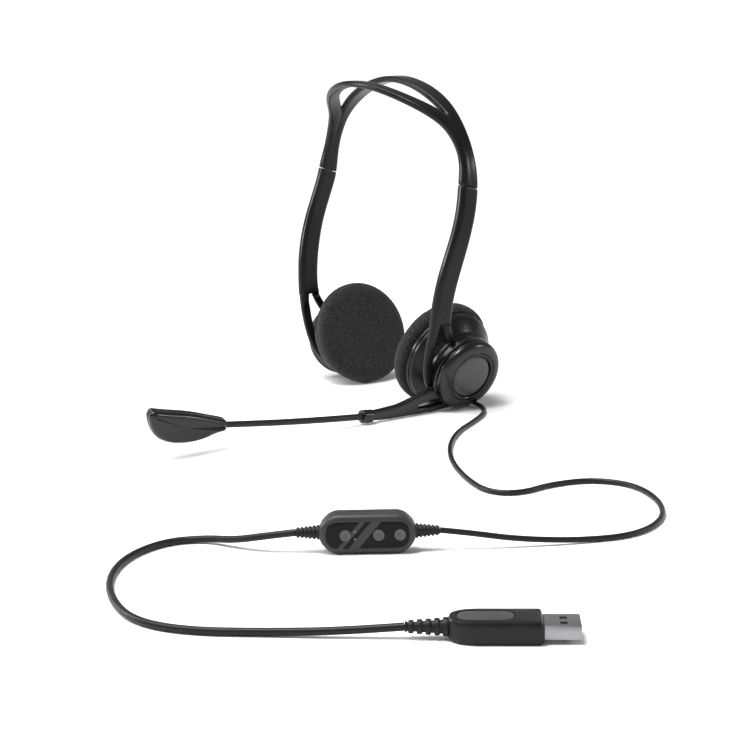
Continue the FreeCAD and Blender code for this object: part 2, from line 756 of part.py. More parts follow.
def control_outline():
    length = size["control_length"] / 2
    height = size["control_height"]
    corner = size["control_corner"]
    top = height - corner
    return [
        (length * -1, corner), (corner - length, ZERO), (length - corner, ZERO), (length, corner),
        (length, top), (length - corner, height), (corner - length, height), (length * -1, top)]


def bar_along_y(name, radius, start, depth, x, z):
    """A round bar along local Y, as a tool or a piece."""
    return cylinder(name, radius, depth, FreeCAD.Placement(V(x, start, z), FreeCAD.Rotation(V(1, 0, 0), -90)))


def fixed(value):
    return Size(value, str(value))


CONTROL_MIDDLE = num["control_height"] / 2
CONTROL_FACE = -num["control_depth"] / 2
PLAY = 0.05
THROUGH = fixed(4.0)


def face_tools(name, radius_play, start):
    """Bars that cut the holes for the buttons and the mute lamps."""
    tools = []
    for label, x in BUTTONS.items():
        tools.append(bar_along_y(f"{name}_{label}", size["button_radius"] + radius_play, start, THROUGH, x,
                                 CONTROL_MIDDLE))
    for index, (x, z) in enumerate(LAMPS):
        tools.append(bar_along_y(f"{name}_lamp_{index}", size["lamp_radius"] + 0.03, start, THROUGH, x,
                                 CONTROL_MIDDLE + z))
    return tools


def case_cavity(name, start):
    """The hollow of one half of the case, from a depth along local Y."""
    length = size["control_length"] - size["control_end_wall"] * 2
    depth = size["control_depth"] / 2 - size["control_wall"]
    height = size["control_height"] - size["control_floor"] * 2
    return block(name + "_cavity", length, depth, height, V(-float(length) / 2, start, num["control_floor"]))


def screw_places():
    return enumerate((-num["control_screw_at"], num["control_screw_at"]))


def make_control_front():
    """The half that faces the user: recess for the plate, button holes and lamp holes."""
    half = size["control_depth"] / 2
    name = "control_front_case"
    shell = plate(name + "_block", control_outline(), half, "XZ_Plane")
    length = size["plate_length"] + 2 * PLAY
    height = size["plate_height"] + 2 * PLAY
    recess = block(name + "_recess", length, size["plate_recess"], height,
                   V(-float(length) / 2, CONTROL_FACE, CONTROL_MIDDLE - float(height) / 2))
    tools = [case_cavity(name, num["control_wall"] + CONTROL_FACE), recess]
    tools += face_tools(name, size["button_play"], CONTROL_FACE - 1)
    for index, x in screw_places():
        tools.append(bar_along_y(f"{name}_screw_{index}", size["thread_radius"] + PLAY, -3.2, THROUGH, x,
                                 CONTROL_MIDDLE))
    finish(cut(name + "_cut", shell, tools), name, control_placement())


def make_control_back():
    half = size["control_depth"] / 2
    name = "control_back_case"
    shell = plate(name + "_block", control_outline(), half, "XZ_Plane", reverse=True)
    tools = [case_cavity(name, 0)]
    for index, x in screw_places():
        tools.append(bar_along_y(f"{name}_screw_{index}", size["thread_radius"] + PLAY, -1, half + 2, x,
                                 CONTROL_MIDDLE))
        tools.append(bar_along_y(f"{name}_head_{index}", fixed(1.5), -CONTROL_FACE - 1.3, THROUGH, x,
                                 CONTROL_MIDDLE))
    finish(cut(name + "_cut", shell, tools), name, control_placement())


def make_control_plate():
    name = "control_plate"
    base = block(name + "_block", size["plate_length"], size["plate_depth"], size["plate_height"],
                 V(-num["plate_length"] / 2, CONTROL_FACE + num["plate_recess"] - num["plate_depth"],
                   CONTROL_MIDDLE - num["plate_height"] / 2))
    tools = face_tools(name, size["button_play"], CONTROL_FACE - 2)
    finish(cut(name + "_cut", base, tools), name, control_placement())


def turned_along_y(x):
    """Place a turned piece on the control, its axis along the buttons' travel from the face inwards."""
    local = FreeCAD.Placement(V(x, CONTROL_FACE, CONTROL_MIDDLE), FreeCAD.Rotation(V(1, 0, 0), -90))
    return control_placement().multiply(local)


def make_buttons():
    """A button stands proud of the plate and has a flange that holds it behind the case wall."""
    radius = size["button_radius"]
    top = size["button_proud"] * -1
    flange = size["control_wall"] + PLAY
    end = flange + size["button_flange"]
    for label, x in BUTTONS.items():
        body = revolved(label, [
            (ZERO, top), (radius - 0.5, top), (radius, top + 0.35), (radius, flange),
            (radius + size["button_flange"], flange), (radius + size["button_flange"], end), (ZERO, end)])
        finish(body, label, turned_along_y(x))


def sheet_inside(name, span, height, start, depth):
    """A flat piece inside the control, centred on its height, over a span along local X."""
    low, high = span
    item = block(name, fixed(high - low), depth, fixed(height), V(low, start, CONTROL_MIDDLE - height / 2))
    finish(item, name, control_placement().multiply(item.Placement))


def make_control_inside():
    under_buttons = CONTROL_FACE + num["control_wall"] + 2 * PLAY + num["button_flange"] + 0.65
    sheet_inside("button_membrane", (-11.2, 15.0), 8.2, under_buttons, size["membrane_depth"])
    board_start = under_buttons + num["membrane_depth"]
    sheet_inside("control_board", (-14.0, 15.0), 8.6, board_start, size["board_depth"])
    lamps = doc.addObject("Part::MultiFuse", "mute_lamps")
    pegs = []
    for index, (x, z) in enumerate(LAMPS):
        pegs.append(bar_along_y(f"mute_lamp_{index}", size["lamp_radius"], CONTROL_FACE - 0.3, fixed(1.8), x,
                                CONTROL_MIDDLE + z))
    lamps.Shapes = pegs
    finish(lamps, "mute_lamps", control_placement())


def make_control_screws():
    shapes = []
    for _, x in screw_places():
        shank = Part.makeCylinder(num["thread_radius"], 6.2, V(x, -2.6, CONTROL_MIDDLE), V(0, 1, 0))
        head = Part.makeCylinder(1.45, 0.9, V(x, -CONTROL_FACE - 1.3, CONTROL_MIDDLE), V(0, 1, 0))
        shapes.append(shank.fuse(head).removeSplitter())
    feature("control_screws", Part.makeCompound(shapes), control_placement())


def relief_outline(length, thick, thin, bore_end):
    """A tapered strain relief with ribs, as (radius, depth) corners. It ends where the cord starts."""
    corners = [(ZERO, ZERO), (fixed(thick), ZERO)]
    ribs = 4
    pitch = length / (ribs + 0.5)
    for index in range(ribs):
        radius = thick + (thin - thick) * (index + 0.5) / (ribs + 0.5)
        here = pitch * (index + 0.5)
        groove = radius - 0.5
        there = here + pitch * 0.4
        corners += [(fixed(radius), fixed(here)), (fixed(groove), fixed(here)),
                    (fixed(groove), fixed(there)), (fixed(radius), fixed(there))]
    corners += [(fixed(bore_end), fixed(length)), (ZERO, fixed(length))]
    return corners


def make_control_reliefs():
    half = num["control_length"] / 2
    for label, way in (("control_relief_upper", 1), ("control_relief_lower", -1)):
        body = revolved(label, relief_outline(num["relief_length"], 2.9, 2.1, 1.9))
        local = FreeCAD.Placement(V(way * half, 0, CONTROL_MIDDLE), FreeCAD.Rotation(V(0, 1, 0), way * 90))
        finish(body, label, control_placement().multiply(local))


# ---- plug -----------------------------------------------------------------------------------------

INSERT_AT = 12.3
USB_LOW = (num["plug_height"] - num["usb_height"]) / 2


def plug_placement():
    """Local X runs from the cord to the tip of the plug, and local Z is up."""
    return FreeCAD.Placement(TABLE + PLUG_AT, FreeCAD.Rotation(V(0, 0, 1), PLUG_ANGLE))


def make_plug_body():
    name = "plug_body"
    half = size["plug_width"] / 2
    neck = size["plug_neck"]
    end = size["plug_length"]
    tip = size["plug_neck_half"]
    outline = [(ZERO, tip * -1), (neck, half * -1), (end, half * -1), (end, half), (neck, half), (ZERO, tip)]
    base = plate(name + "_block", outline, size["plug_height"])
    pocket = block(name + "_pocket", fixed(17.0), fixed(11.2), fixed(2.4), V(12, -5.6, 2.8))
    length = num["insert_length"] + 2 * PLAY
    width = num["insert_width"] + 2 * PLAY
    recess = pill(name + "_recess", length, width, num["insert_recess"])
    finish(cut(name + "_cut", base, [pocket, recess]), name, plug_placement())


def pill(name, length, width, depth):
    """A flat piece with round ends on the floor of the recess in the plug body's top."""
    middle = V(INSERT_AT, 0, num["plug_height"] - num["insert_recess"])
    reach = (length - width) / 2
    left = Part.makeCylinder(width / 2, depth, middle - V(reach, 0, 0))
    right = Part.makeCylinder(width / 2, depth, middle + V(reach, 0, 0))
    bar = Part.makeBox(2 * reach, width, depth, middle - V(reach, width / 2, 0))
    item = doc.addObject("Part::Feature", name)
    item.Shape = bar.fuse([left, right]).removeSplitter()
    return item


def make_plug_insert():
    insert = pill("plug_insert", num["insert_length"], num["insert_width"], num["insert_recess"] - 0.1)
    finish(insert, "plug_insert", plug_placement())


def make_plug_board():
    board = block("plug_board", fixed(16.0), fixed(10.6), size["board_depth"], V(12.5, -5.3, 3.0))
    finish(board, "plug_board", plug_placement().multiply(board.Placement))


def make_usb_shell():
    name = "usb_shell"
    start = num["plug_length"]
    wall = size["usb_wall"]
    outer = block(name + "_block", size["usb_length"], size["usb_width"], size["usb_height"],
                  V(start, -num["usb_width"] / 2, USB_LOW))
    inner = block(name + "_inside", size["usb_length"] + 1, size["usb_width"] - wall * 2,
                  size["usb_height"] - wall * 2,
                  V(start - 0.5, num["usb_wall"] - num["usb_width"] / 2, USB_LOW + num["usb_wall"]))
    tools = [inner]
    for index, y in enumerate((-3.6, 1.2)):
        tools.append(block(f"{name}_window_{index}", fixed(2.4), fixed(2.4), fixed(6.0),
                           V(start + 5.2, y, USB_LOW - 0.5)))
    finish(cut(name + "_cut", outer, tools), name, plug_placement())


def make_usb_inside():
    start = num["plug_length"]
    tongue = block("usb_tongue", size["usb_length"] - 0.6, fixed(10.6), fixed(1.8), V(start, -5.3, 4.0))
    finish(tongue, "usb_tongue", plug_placement().multiply(tongue.Placement))
    strips = [Part.makeBox(8.6, 1.0, 0.15, V(start + 1.2, y, 3.85)) for y in (-4.0, -1.5, 0.5, 3.0)]
    feature("usb_contacts", Part.makeCompound(strips), plug_placement())


def make_plug_relief():
    body = revolved("plug_relief", relief_outline(num["plug_relief_length"], 3.3, 2.3, 2.1))
    local = FreeCAD.Placement(V(0, 0, num["plug_height"] / 2), FreeCAD.Rotation(V(0, 1, 0), -90))
    finish(body, "plug_relief", plug_placement().multiply(local))


# ---- the whole headset ----------------------------------------------------------------------------


def build():
    for side, word in ((1, "left"), (-1, "right")):
        make_pad(f"{word}_ear_pad", side)
        make_baffle(f"{word}_speaker_baffle", side)
        make_diaphragm(f"{word}_diaphragm", side)
        make_driver(f"{word}_speaker_driver", side)
        make_cup_shell(f"{word}_cup_shell", side)
        make_cover(f"{word}_cup_cover", side)
        make_bezel(f"{word}_cap_bezel", side)
        make_cap(f"{word}_cap", side)
        make_hub_screw(f"{word}_hub_screw", side)
    bore = size["boss_radius"] + size["running_play"]
    washer = at_ring + size["ring_depth"] + 0.1
    turned_ring("boom_washer", size["boss_radius"] + 0.2, size["boss_radius"] + 3, washer,
                washer + size["washer_depth"], 1)
    turned_ring("right_spacer_ring", bore, size["ring_radius"], at_ring - size["ring_gap"], at_cover, -1)
    make_arms()
    make_headband()
    make_boom_root()
    make_boom_tube()
    make_microphone()
    make_gland()
    make_cords()
    make_control_front()
    make_control_back()
    make_control_plate()
    make_buttons()
    make_control_inside()
    make_control_screws()
    make_control_reliefs()
    make_plug_body()
    make_plug_insert()
    make_plug_board()
    make_usb_shell()
    make_usb_inside()
    make_plug_relief()


def check():
    doc.recompute()
    for item in doc.Objects:
        if "Invalid" in item.State or "Error" in item.State:
            raise RuntimeError(f"{item.Name} failed: {item.State}")
    for node in nodes:
        if node.Shape.isNull() or not node.Shape.isValid():
            raise RuntimeError(f"{node.Label} has no valid shape")
        if not node.Shape.Solids:
            raise RuntimeError(f"{node.Label} has no solid")


def write():
    os.makedirs("parts", exist_ok=True)
    for node in nodes:
        node.Shape.exportStep(f"parts/{node.Label}.step")
    print(f"{len(nodes)} sub-parts written")


build()
check()
write()
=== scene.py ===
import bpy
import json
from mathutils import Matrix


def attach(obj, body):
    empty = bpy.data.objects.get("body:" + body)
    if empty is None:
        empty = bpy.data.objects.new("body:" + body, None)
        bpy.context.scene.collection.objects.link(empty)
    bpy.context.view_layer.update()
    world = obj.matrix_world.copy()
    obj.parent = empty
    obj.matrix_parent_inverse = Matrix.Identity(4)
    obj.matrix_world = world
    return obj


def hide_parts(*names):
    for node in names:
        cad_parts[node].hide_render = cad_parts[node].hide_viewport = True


bl_info = {
    "name": "Office Headset",
    "version": (1, 0, 0),
    "blender": (4, 5, 0),
    "location": "View3D > Sidebar > Headset",
    "description": "Builds an office headset with foam pads, boom microphone, in-line control and USB plug",
    "category": "Object",
}

import json
import math

import bmesh
import bpy
from mathutils import Matrix, Vector, noise

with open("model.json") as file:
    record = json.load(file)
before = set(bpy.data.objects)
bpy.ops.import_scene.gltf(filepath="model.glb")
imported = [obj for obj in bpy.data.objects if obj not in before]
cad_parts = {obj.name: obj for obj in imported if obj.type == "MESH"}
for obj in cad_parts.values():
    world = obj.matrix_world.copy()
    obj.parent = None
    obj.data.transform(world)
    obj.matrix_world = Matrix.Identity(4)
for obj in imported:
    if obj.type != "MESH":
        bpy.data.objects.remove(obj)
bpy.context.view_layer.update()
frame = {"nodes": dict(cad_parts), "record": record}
NODES = frame["nodes"]
MM = 0.001

# Places shared by the pieces, in millimetres: the ear axis, the cups' tilt and the ends on the table.
EAR_Y = 74.73
EAR_Z = 28.19
EAR_X = 29.5
TILT = math.radians(18.5)
CONTROL_AT = Vector((211.4, EAR_Y - 170.5, 0))
CONTROL_WAY = Vector((0.574, 0.819, 0)).normalized()
CONTROL_MIDDLE = 7.75
PLUG_AT = Vector((301.6, EAR_Y - 202.5, 0))
PLUG_ANGLE = math.radians(52)
RING_MIDDLE = 26.0
PLUG_MIDDLE = 4.0

# Smoothing rounds of the moulded pieces, then numbers shared by the finishes.
SOFTEN_ROUNDS = 5
ROUGHNESS_SPREAD = 0.05
BRUSHED = (1.0, 0.06, 1.0)
BLUE_TRACE = 1.03

# Outlines of the turned pieces, as (radius, depth along the cup's axis) in millimetres.
PAD = [
    (0.6, 1.0), (8, 0.9), (14, 0.45), (19, 0.15), (22.5, 0.35), (25.4, 1.5), (27.0, 3.6),
    (27.4, 6.0), (26.9, 8.4), (25.6, 9.7), (23.8, 10.05), (20, 10.1), (0.6, 10.1)]
COVER = [
    (1.7, 24.1), (8.95, 24.1), (8.95, 28.3), (17.9, 28.3), (18.45, 28.9), (18.4, 30.2), (17.9, 31.5),
    (16.9, 32.6), (15.4, 33.25), (14.0, 33.4), (13.3, 33.35), (13.2, 33.0), (13.2, 31.85), (1.7, 31.85)]
BEZEL = [(11.3, 31.9), (13.1, 31.9), (13.1, 33.1), (12.7, 33.4), (11.9, 33.4), (11.45, 33.0), (11.3, 32.6)]
CAP = [
    (0.4, 33.25), (5, 33.2), (8.6, 33.0), (10.3, 32.75), (10.95, 32.45), (10.95, 31.85), (0.4, 31.85)]
SHELL = [
    (24.4, 13.05), (24.4, 14.4), (23.6, 15.6), (21.6, 17.9), (19.4, 20.2), (18.3, 20.95), (2.0, 20.95),
    (2.0, 19.5), (17.0, 19.5), (22.9, 14.4), (22.9, 13.05)]
BAFFLE = [(0.4, 10.55), (24.3, 10.55), (24.95, 11.0), (24.95, 12.6), (24.4, 12.98), (0.4, 12.98)]
SPACER = [(9.1, 24.05), (18.1, 24.05), (18.45, 24.5), (18.45, 27.7), (18.1, 28.15), (9.1, 28.15)]

# The boom, in a cup's own directions: (front, up, depth) of the tube and (front, up) of the microphone.
TUBE = [(56, -16.9, RING_MIDDLE), (80, -14.8, RING_MIDDLE - 0.5), (106, -12.8, RING_MIDDLE - 2.2),
        (137.0, -10.15, RING_MIDDLE - 4.95)]
TUBE_RADIUS = 1.62
TUBE_TAPER = 0.12
MIC_MIDDLE = RING_MIDDLE - 5.0
MIC_CORNERS = [
    (134.6, -12.7), (134.6, -7.5), (154, -0.7), (168, 2.5), (174.6, 4.3), (176.4, 1.5),
    (174.6, -5.0), (171, -10.6), (163.5, -14.4), (154, -15.9), (146, -15.2), (140, -13.2)]
MIC_ROUNDING = [1.2, 1.4, 6, 5, 2.2, 2.4, 3, 4, 4, 4, 3, 3]

# Edges of the slabs, as (how far the outline is drawn in, depth) in millimetres.
MIC_OUTER = [
    (0.12, 0.02), (0.0, 0.25), (0.0, 1.3), (0.25, 2.1), (0.9, 2.9), (1.9, 3.45), (2.5, 3.6), (3.0, 3.6)]
MIC_INNER = [
    (0.12, -0.02), (0.0, -0.25), (0.0, -1.6), (0.3, -2.6), (1.1, -3.4), (2.2, -3.75), (3.0, -3.78)]
CONTROL_FRONT = [
    (0.28, 0.0), (0.02, -0.12), (0.0, -0.5), (0.0, -2.6), (0.2, -3.5), (0.8, -4.3), (1.7, -4.78),
    (2.4, -4.9)]
CONTROL_BACK = [
    (0.28, 0.0), (0.02, 0.12), (0.0, 0.5), (0.0, 2.6), (0.2, 3.5), (0.8, 4.3), (1.7, 4.78), (2.6, 4.9)]
PLATE_EDGE = [(0.0, -4.2), (0.0, -4.95), (0.12, -5.06), (0.35, -5.1)]
PLUG_EDGE = [
    (1.3, 0.02), (0.75, 0.2), (0.3, 0.75), (0.06, 1.6), (0.0, 3.0), (0.0, 5.0), (0.06, 6.4), (0.3, 7.25),
    (0.75, 7.8), (1.3, 7.98)]
PANEL_EDGE = [(0.0, 7.56), (0.0, 7.8), (0.15, 7.93), (0.5, 7.97)]

# The control and its keys: half sizes along the cord and up, and each key's place and sign.
CONTROL_HALF = (18.25, 7.75)
CONTROL_CORNER = 4.7
PLATE_HALF = (15.7, 5.1)
KEY_HOLE = 2.27
KEY_PROFILE = [
    (0.2, -5.32), (1.0, -5.36), (1.5, -5.48), (1.85, -5.58), (2.08, -5.5), (2.15, -5.2), (2.15, -3.0),
    (0.2, -3.0)]
KEYS = (
    ("mute_button", -8.3, "slash"),
    ("volume_down_button", 4.2, "minus"),
    ("volume_up_button", 12.2, "plus"),
)
# Bars of each sign: angle, half length and half width. Then how each bar rises from its key.
SIGNS = {
    "plus": ((0, 1.0, 0.22), (math.pi / 2, 1.0, 0.22)),
    "minus": ((0, 1.0, 0.22),),
    "slash": ((math.radians(45), 1.25, 0.18), (math.pi / 2, 0.62, 0.42)),
}
SIGN_EDGE = ((0, -5.25), (0, -5.48), (0.08, -5.54))

# The two bands of painted reflection across the plate, lighter grey painted in place of the lamps'
# reflections: how far they lean, how far before the control's middle their ramp starts and how long it is,
# in millimetres, and its stops as (share of that length, strength).
BANDS_LEAN = 0.83
BANDS_START = 12.0
BANDS_LENGTH = 16.0
BANDS_STOPS = [
    (0.296, 0.0), (0.316, 1.0), (0.421, 1.0), (0.441, 0.0), (0.556, 0.0), (0.576, 1.0), (0.793, 1.0),
    (0.813, 0.0)]

# The stage, in metres: the paper's rings as (reach, height), and the lamps as (name, place, size, share).
PAPER = ((1.5, 0.0), (12.0, 0.0), (40.0, 0.6), (70.0, 13.0))
LAMPS = (
    ("key", (0.20, -0.24, 0.74), 0.18, 1.0),
    ("side", (-0.46, -0.52, 0.30), 0.15, 0.8),
    ("strip", (0.62, 0.70, 0.40), 0.14, 0.5),
)
LAMPS_AIM = Vector((0.03, 0.03, 0.08))
CEILING_FROM = Vector((-0.25, -0.35, 0.9))
CEILING_SPREAD = math.radians(50)
CAMERA_AIM = Vector((0.0027, 0.05123, 0.01679))

CORD_UPPER = [
    (44.0, 8.5, 2.4), (53, 8.7, 1.5), (63, 6.2, 1.3), (73, -2.6, 1.3), (82, -16.5, 1.3), (92, -33.5, 1.3),
    (109, -52, 1.3), (132, -69, 1.3), (158, -81.5, 1.3), (181, -88, 1.3), (191, -78, 1.3),
    (188.5, -60, 1.3), (194, -41, 1.3), (211, -32.5, 1.3), (235, -41, 1.3), (254, -58, 1.3),
    (262, -80, 1.3), (254.5, -101, 1.3), (243, -123, 3.2), (233, -139.7, 6.6), (227.04, -148.18, 7.75)]
CORD_LOWER = [
    (195.76, -192.82, 7.75), (189.5, -201.0, 6.6), (177, -208.5, 3.2), (164, -213, 1.6), (157.5, -228, 1.5),
    (165, -248, 1.5), (182, -264, 1.5), (205, -274.5, 1.5), (228, -278, 1.5), (247, -268.5, 1.5),
    (265, -247, 1.5), (281, -228.5, 2.4), (292.98, -213.53, 4.0)]


# ---- places ---------------------------------------------------------------------------------------


def cup_place(side):
    """Turns (front, up, depth) by a cup's own directions into a point of the frame."""
    def place(front, up, depth):
        x = EAR_X + depth * math.cos(TILT) + up * math.sin(TILT)
        z = EAR_Z + up * math.cos(TILT) - depth * math.sin(TILT)
        return Vector((side * x, EAR_Y - front, z)) * MM
    return place


def control_place(x, depth, height):
    """x runs along the cord, depth goes in from the button face's side and height is above the middle."""
    inward = Vector((-CONTROL_WAY.y, CONTROL_WAY.x, 0))
    point = CONTROL_AT + CONTROL_WAY * x + inward * depth
    return Vector((point.x, point.y, CONTROL_MIDDLE + height)) * MM


def plug_place(along, across, height):
    """along runs from the relief to the shell, across the plug and height is above the table."""
    way = Vector((math.cos(PLUG_ANGLE), math.sin(PLUG_ANGLE), 0))
    side = Vector((-way.y, way.x, 0))
    point = PLUG_AT + way * along + side * across
    return Vector((point.x, point.y, height)) * MM


def table_place(point):
    """A point measured from the spot on the table midway between the ears."""
    return Vector((point[0], EAR_Y + point[1], point[2])) * MM


# ---- mesh builders --------------------------------------------------------------------------------


def new_object(name, mesh, material):
    piece = bpy.data.objects.new(name, mesh)
    bpy.context.scene.collection.objects.link(piece)
    mesh.materials.append(material)
    return piece


def finished_mesh(name, bm, sharp_degrees=32):
    bmesh.ops.recalc_face_normals(bm, faces=bm.faces)
    mesh = bpy.data.meshes.new(name)
    bm.to_mesh(mesh)
    bm.free()
    for polygon in mesh.polygons:
        polygon.use_smooth = True
    mesh.set_sharp_from_angle(angle=math.radians(sharp_degrees))
    return mesh


def stack_rings(name, rings, closed=False, sharp_degrees=32):
    """A skin over rings of equally many points. It is capped at both ends, or closed on itself."""
    bm = bmesh.new()
    loops = [[bm.verts.new(point) for point in ring] for ring in rings]
    count = len(loops[0])
    pairs = list(zip(loops, loops[1:]))
    if closed:
        pairs.append((loops[-1], loops[0]))
    for low, high in pairs:
        for index in range(count):
            after = (index + 1) % count
            bm.faces.new((low[index], low[after], high[after], high[index]))
    if not closed:
        for ring in (loops[0], loops[-1]):
            middle = bm.verts.new(sum((vert.co for vert in ring), Vector()) / count)
            for index in range(count):
                bm.faces.new((ring[index], ring[(index + 1) % count], middle))
    return finished_mesh(name, bm, sharp_degrees)


def turned(name, profile, place, material, closed=False, steps=112):
    """A turned piece from (radius, depth) points round the axis of a place."""
    rings = []
    for radius, depth in profile:
        turn = [2 * math.pi * index / steps for index in range(steps)]
        rings.append([place(radius * math.cos(a), radius * math.sin(a), depth) for a in turn])
    return new_object(name, stack_rings(name, rings, closed), material)


def eased(profile, radius, steps=4):
    """The same outline with each corner rounded by up to a radius."""
    points = [Vector(point) for point in profile]
    result = [points[0]]
    for before, corner, after in zip(points, points[1:], points[2:]):
        reach = min(radius, (before - corner).length * 0.45, (after - corner).length * 0.45)
        start = corner + (before - corner).normalized() * reach
        end = corner + (after - corner).normalized() * reach
        for index in range(steps + 1):
            t = index / steps
            result.append(start * (1 - t) ** 2 + corner * 2 * t * (1 - t) + end * t ** 2)
    result.append(points[-1])
    return [tuple(point) for point in result]


def rounded_outline(corners, radii, steps=7):
    """A closed outline of many points, with every corner replaced by an arc-like curve."""
    points = [Vector(corner) for corner in corners]
    result = []
    for index, corner in enumerate(points):
        before = points[index - 1]
        after = points[(index + 1) % len(points)]
        reach = radii[index % len(radii)]
        start = corner + (before - corner).normalized() * min(reach, (before - corner).length * 0.48)
        end = corner + (after - corner).normalized() * min(reach, (after - corner).length * 0.48)
        for step in range(steps + 1):
            t = step / steps
            result.append(start * (1 - t) ** 2 + corner * 2 * t * (1 - t) + end * t ** 2)
    return result


def inset_outline(outline, amount):
    """The outline moved inwards along its normals. It runs anticlockwise."""
    result = []
    count = len(outline)
    for index, point in enumerate(outline):
        along = outline[(index + 1) % count] - outline[index - 1]
        normal = Vector((-along.y, along.x)).normalized()
        result.append(point + normal * amount)
    return result


def pillow(name, outline, profile, place, material, sharp_degrees=32):
    """A slab with shaped edges: the profile gives how far the outline is drawn in at each depth."""
    rings = [[place(point, depth) for point in inset_outline(outline, amount)] for amount, depth in profile]
    return new_object(name, stack_rings(name, rings, sharp_degrees=sharp_degrees), material)


def curve_through(route, steps=12):
    """Points of a smooth curve through every point of a route."""
    points = []
    for before, here, ahead, after in zip([route[0]] + route, route, route[1:], route[2:] + [route[-1]]):
        a, b, c, d = (Vector(point) for point in (before, here, ahead, after))
        for index in range(steps):
            t = index / steps
            points.append(0.5 * ((2 * b) + (c - a) * t + (2 * a - 5 * b + 4 * c - d) * t ** 2
                                 + (3 * b - a - 3 * c + d) * t ** 3))
    points.append(route[-1])
    return points


def swept(name, points, radii, material, segments=28):
    """A round bar through points, with its own radius at each."""
    rings = []
    up = Vector((0, 0, 1))
    for index, point in enumerate(points):
        along = (points[min(index + 1, len(points) - 1)] - points[max(index - 1, 0)]).normalized()
        side = along.cross(up).normalized()
        over = side.cross(along)
        turn = [2 * math.pi * step / segments for step in range(segments)]
        rings.append([point + (side * math.cos(a) + over * math.sin(a)) * radii[index] for a in turn])
    return new_object(name, stack_rings(name, rings), material)


def apply_modifiers(piece):
    depsgraph = bpy.context.evaluated_depsgraph_get()
    mesh = bpy.data.meshes.new_from_object(piece.evaluated_get(depsgraph))
    piece.modifiers.clear()
    old = piece.data
    piece.data = mesh
    bpy.data.meshes.remove(old)


def drilled(piece, tools):
    """Cut tool pieces away and remove them."""
    for tool in tools:
        cut = piece.modifiers.new("cut", "BOOLEAN")
        cut.operation = "DIFFERENCE"
        cut.solver = "EXACT"
        cut.object = tool
    bpy.context.view_layer.update()
    apply_modifiers(piece)
    for tool in tools:
        bpy.data.objects.remove(tool)
    piece.data.set_sharp_from_angle(angle=math.radians(32))


def moulded(name, node, material, voxel):
    """A moulded copy of a structural part, with its edges and its joins run into each other."""
    mesh = NODES[node].data.copy()
    mesh.materials.clear()
    piece = new_object(name, mesh, material)
    remesh = piece.modifiers.new("skin", "REMESH")
    remesh.mode = "VOXEL"
    remesh.voxel_size = voxel
    soften = piece.modifiers.new("soften", "SMOOTH")
    soften.factor = 0.5
    soften.iterations = SOFTEN_ROUNDS
    bpy.context.view_layer.update()
    apply_modifiers(piece)
    for polygon in piece.data.polygons:
        polygon.use_smooth = True
    return piece


def eased_copy(name, node, material, width):
    """A copy of a boxy part with its edges broken."""
    mesh = NODES[node].data.copy()
    mesh.materials.clear()
    piece = new_object(name, mesh, material)
    weld = piece.modifiers.new("weld", "WELD")
    weld.merge_threshold = 0.00001
    bevel = piece.modifiers.new("edge", "BEVEL")
    bevel.width = width
    bevel.segments = 3
    bevel.limit_method = "ANGLE"
    bpy.context.view_layer.update()
    apply_modifiers(piece)
    for polygon in piece.data.polygons:
        polygon.use_smooth = True
    piece.data.set_sharp_from_angle(angle=math.radians(40))
    return piece


def settle(piece, body, slot, *nodes):
    """Fix a new piece to its body and hide the parts that it stands for. The slot argument, its finish, is
    not used.
    """
    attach(piece, body)
    if nodes:
        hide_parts(*nodes)
    return piece


# ---- materials ------------------------------------------------------------------------------------


class Value:
    """A shader value. An expression on it adds the Math nodes that work it out."""

    def __init__(self, graph, socket):
        self.graph = graph
        self.socket = socket

    def _math(self, operation, *values):
        return self.graph.node("ShaderNodeMath", {"operation": operation}, dict(enumerate(values)))

    def __add__(self, other):
        return self._math("ADD", self, other)

    def __radd__(self, other):
        return self._math("ADD", other, self)

    def __sub__(self, other):
        return self._math("SUBTRACT", self, other)

    def __mul__(self, other):
        return self._math("MULTIPLY", self, other)

    def __truediv__(self, other):
        return self._math("DIVIDE", self, other)


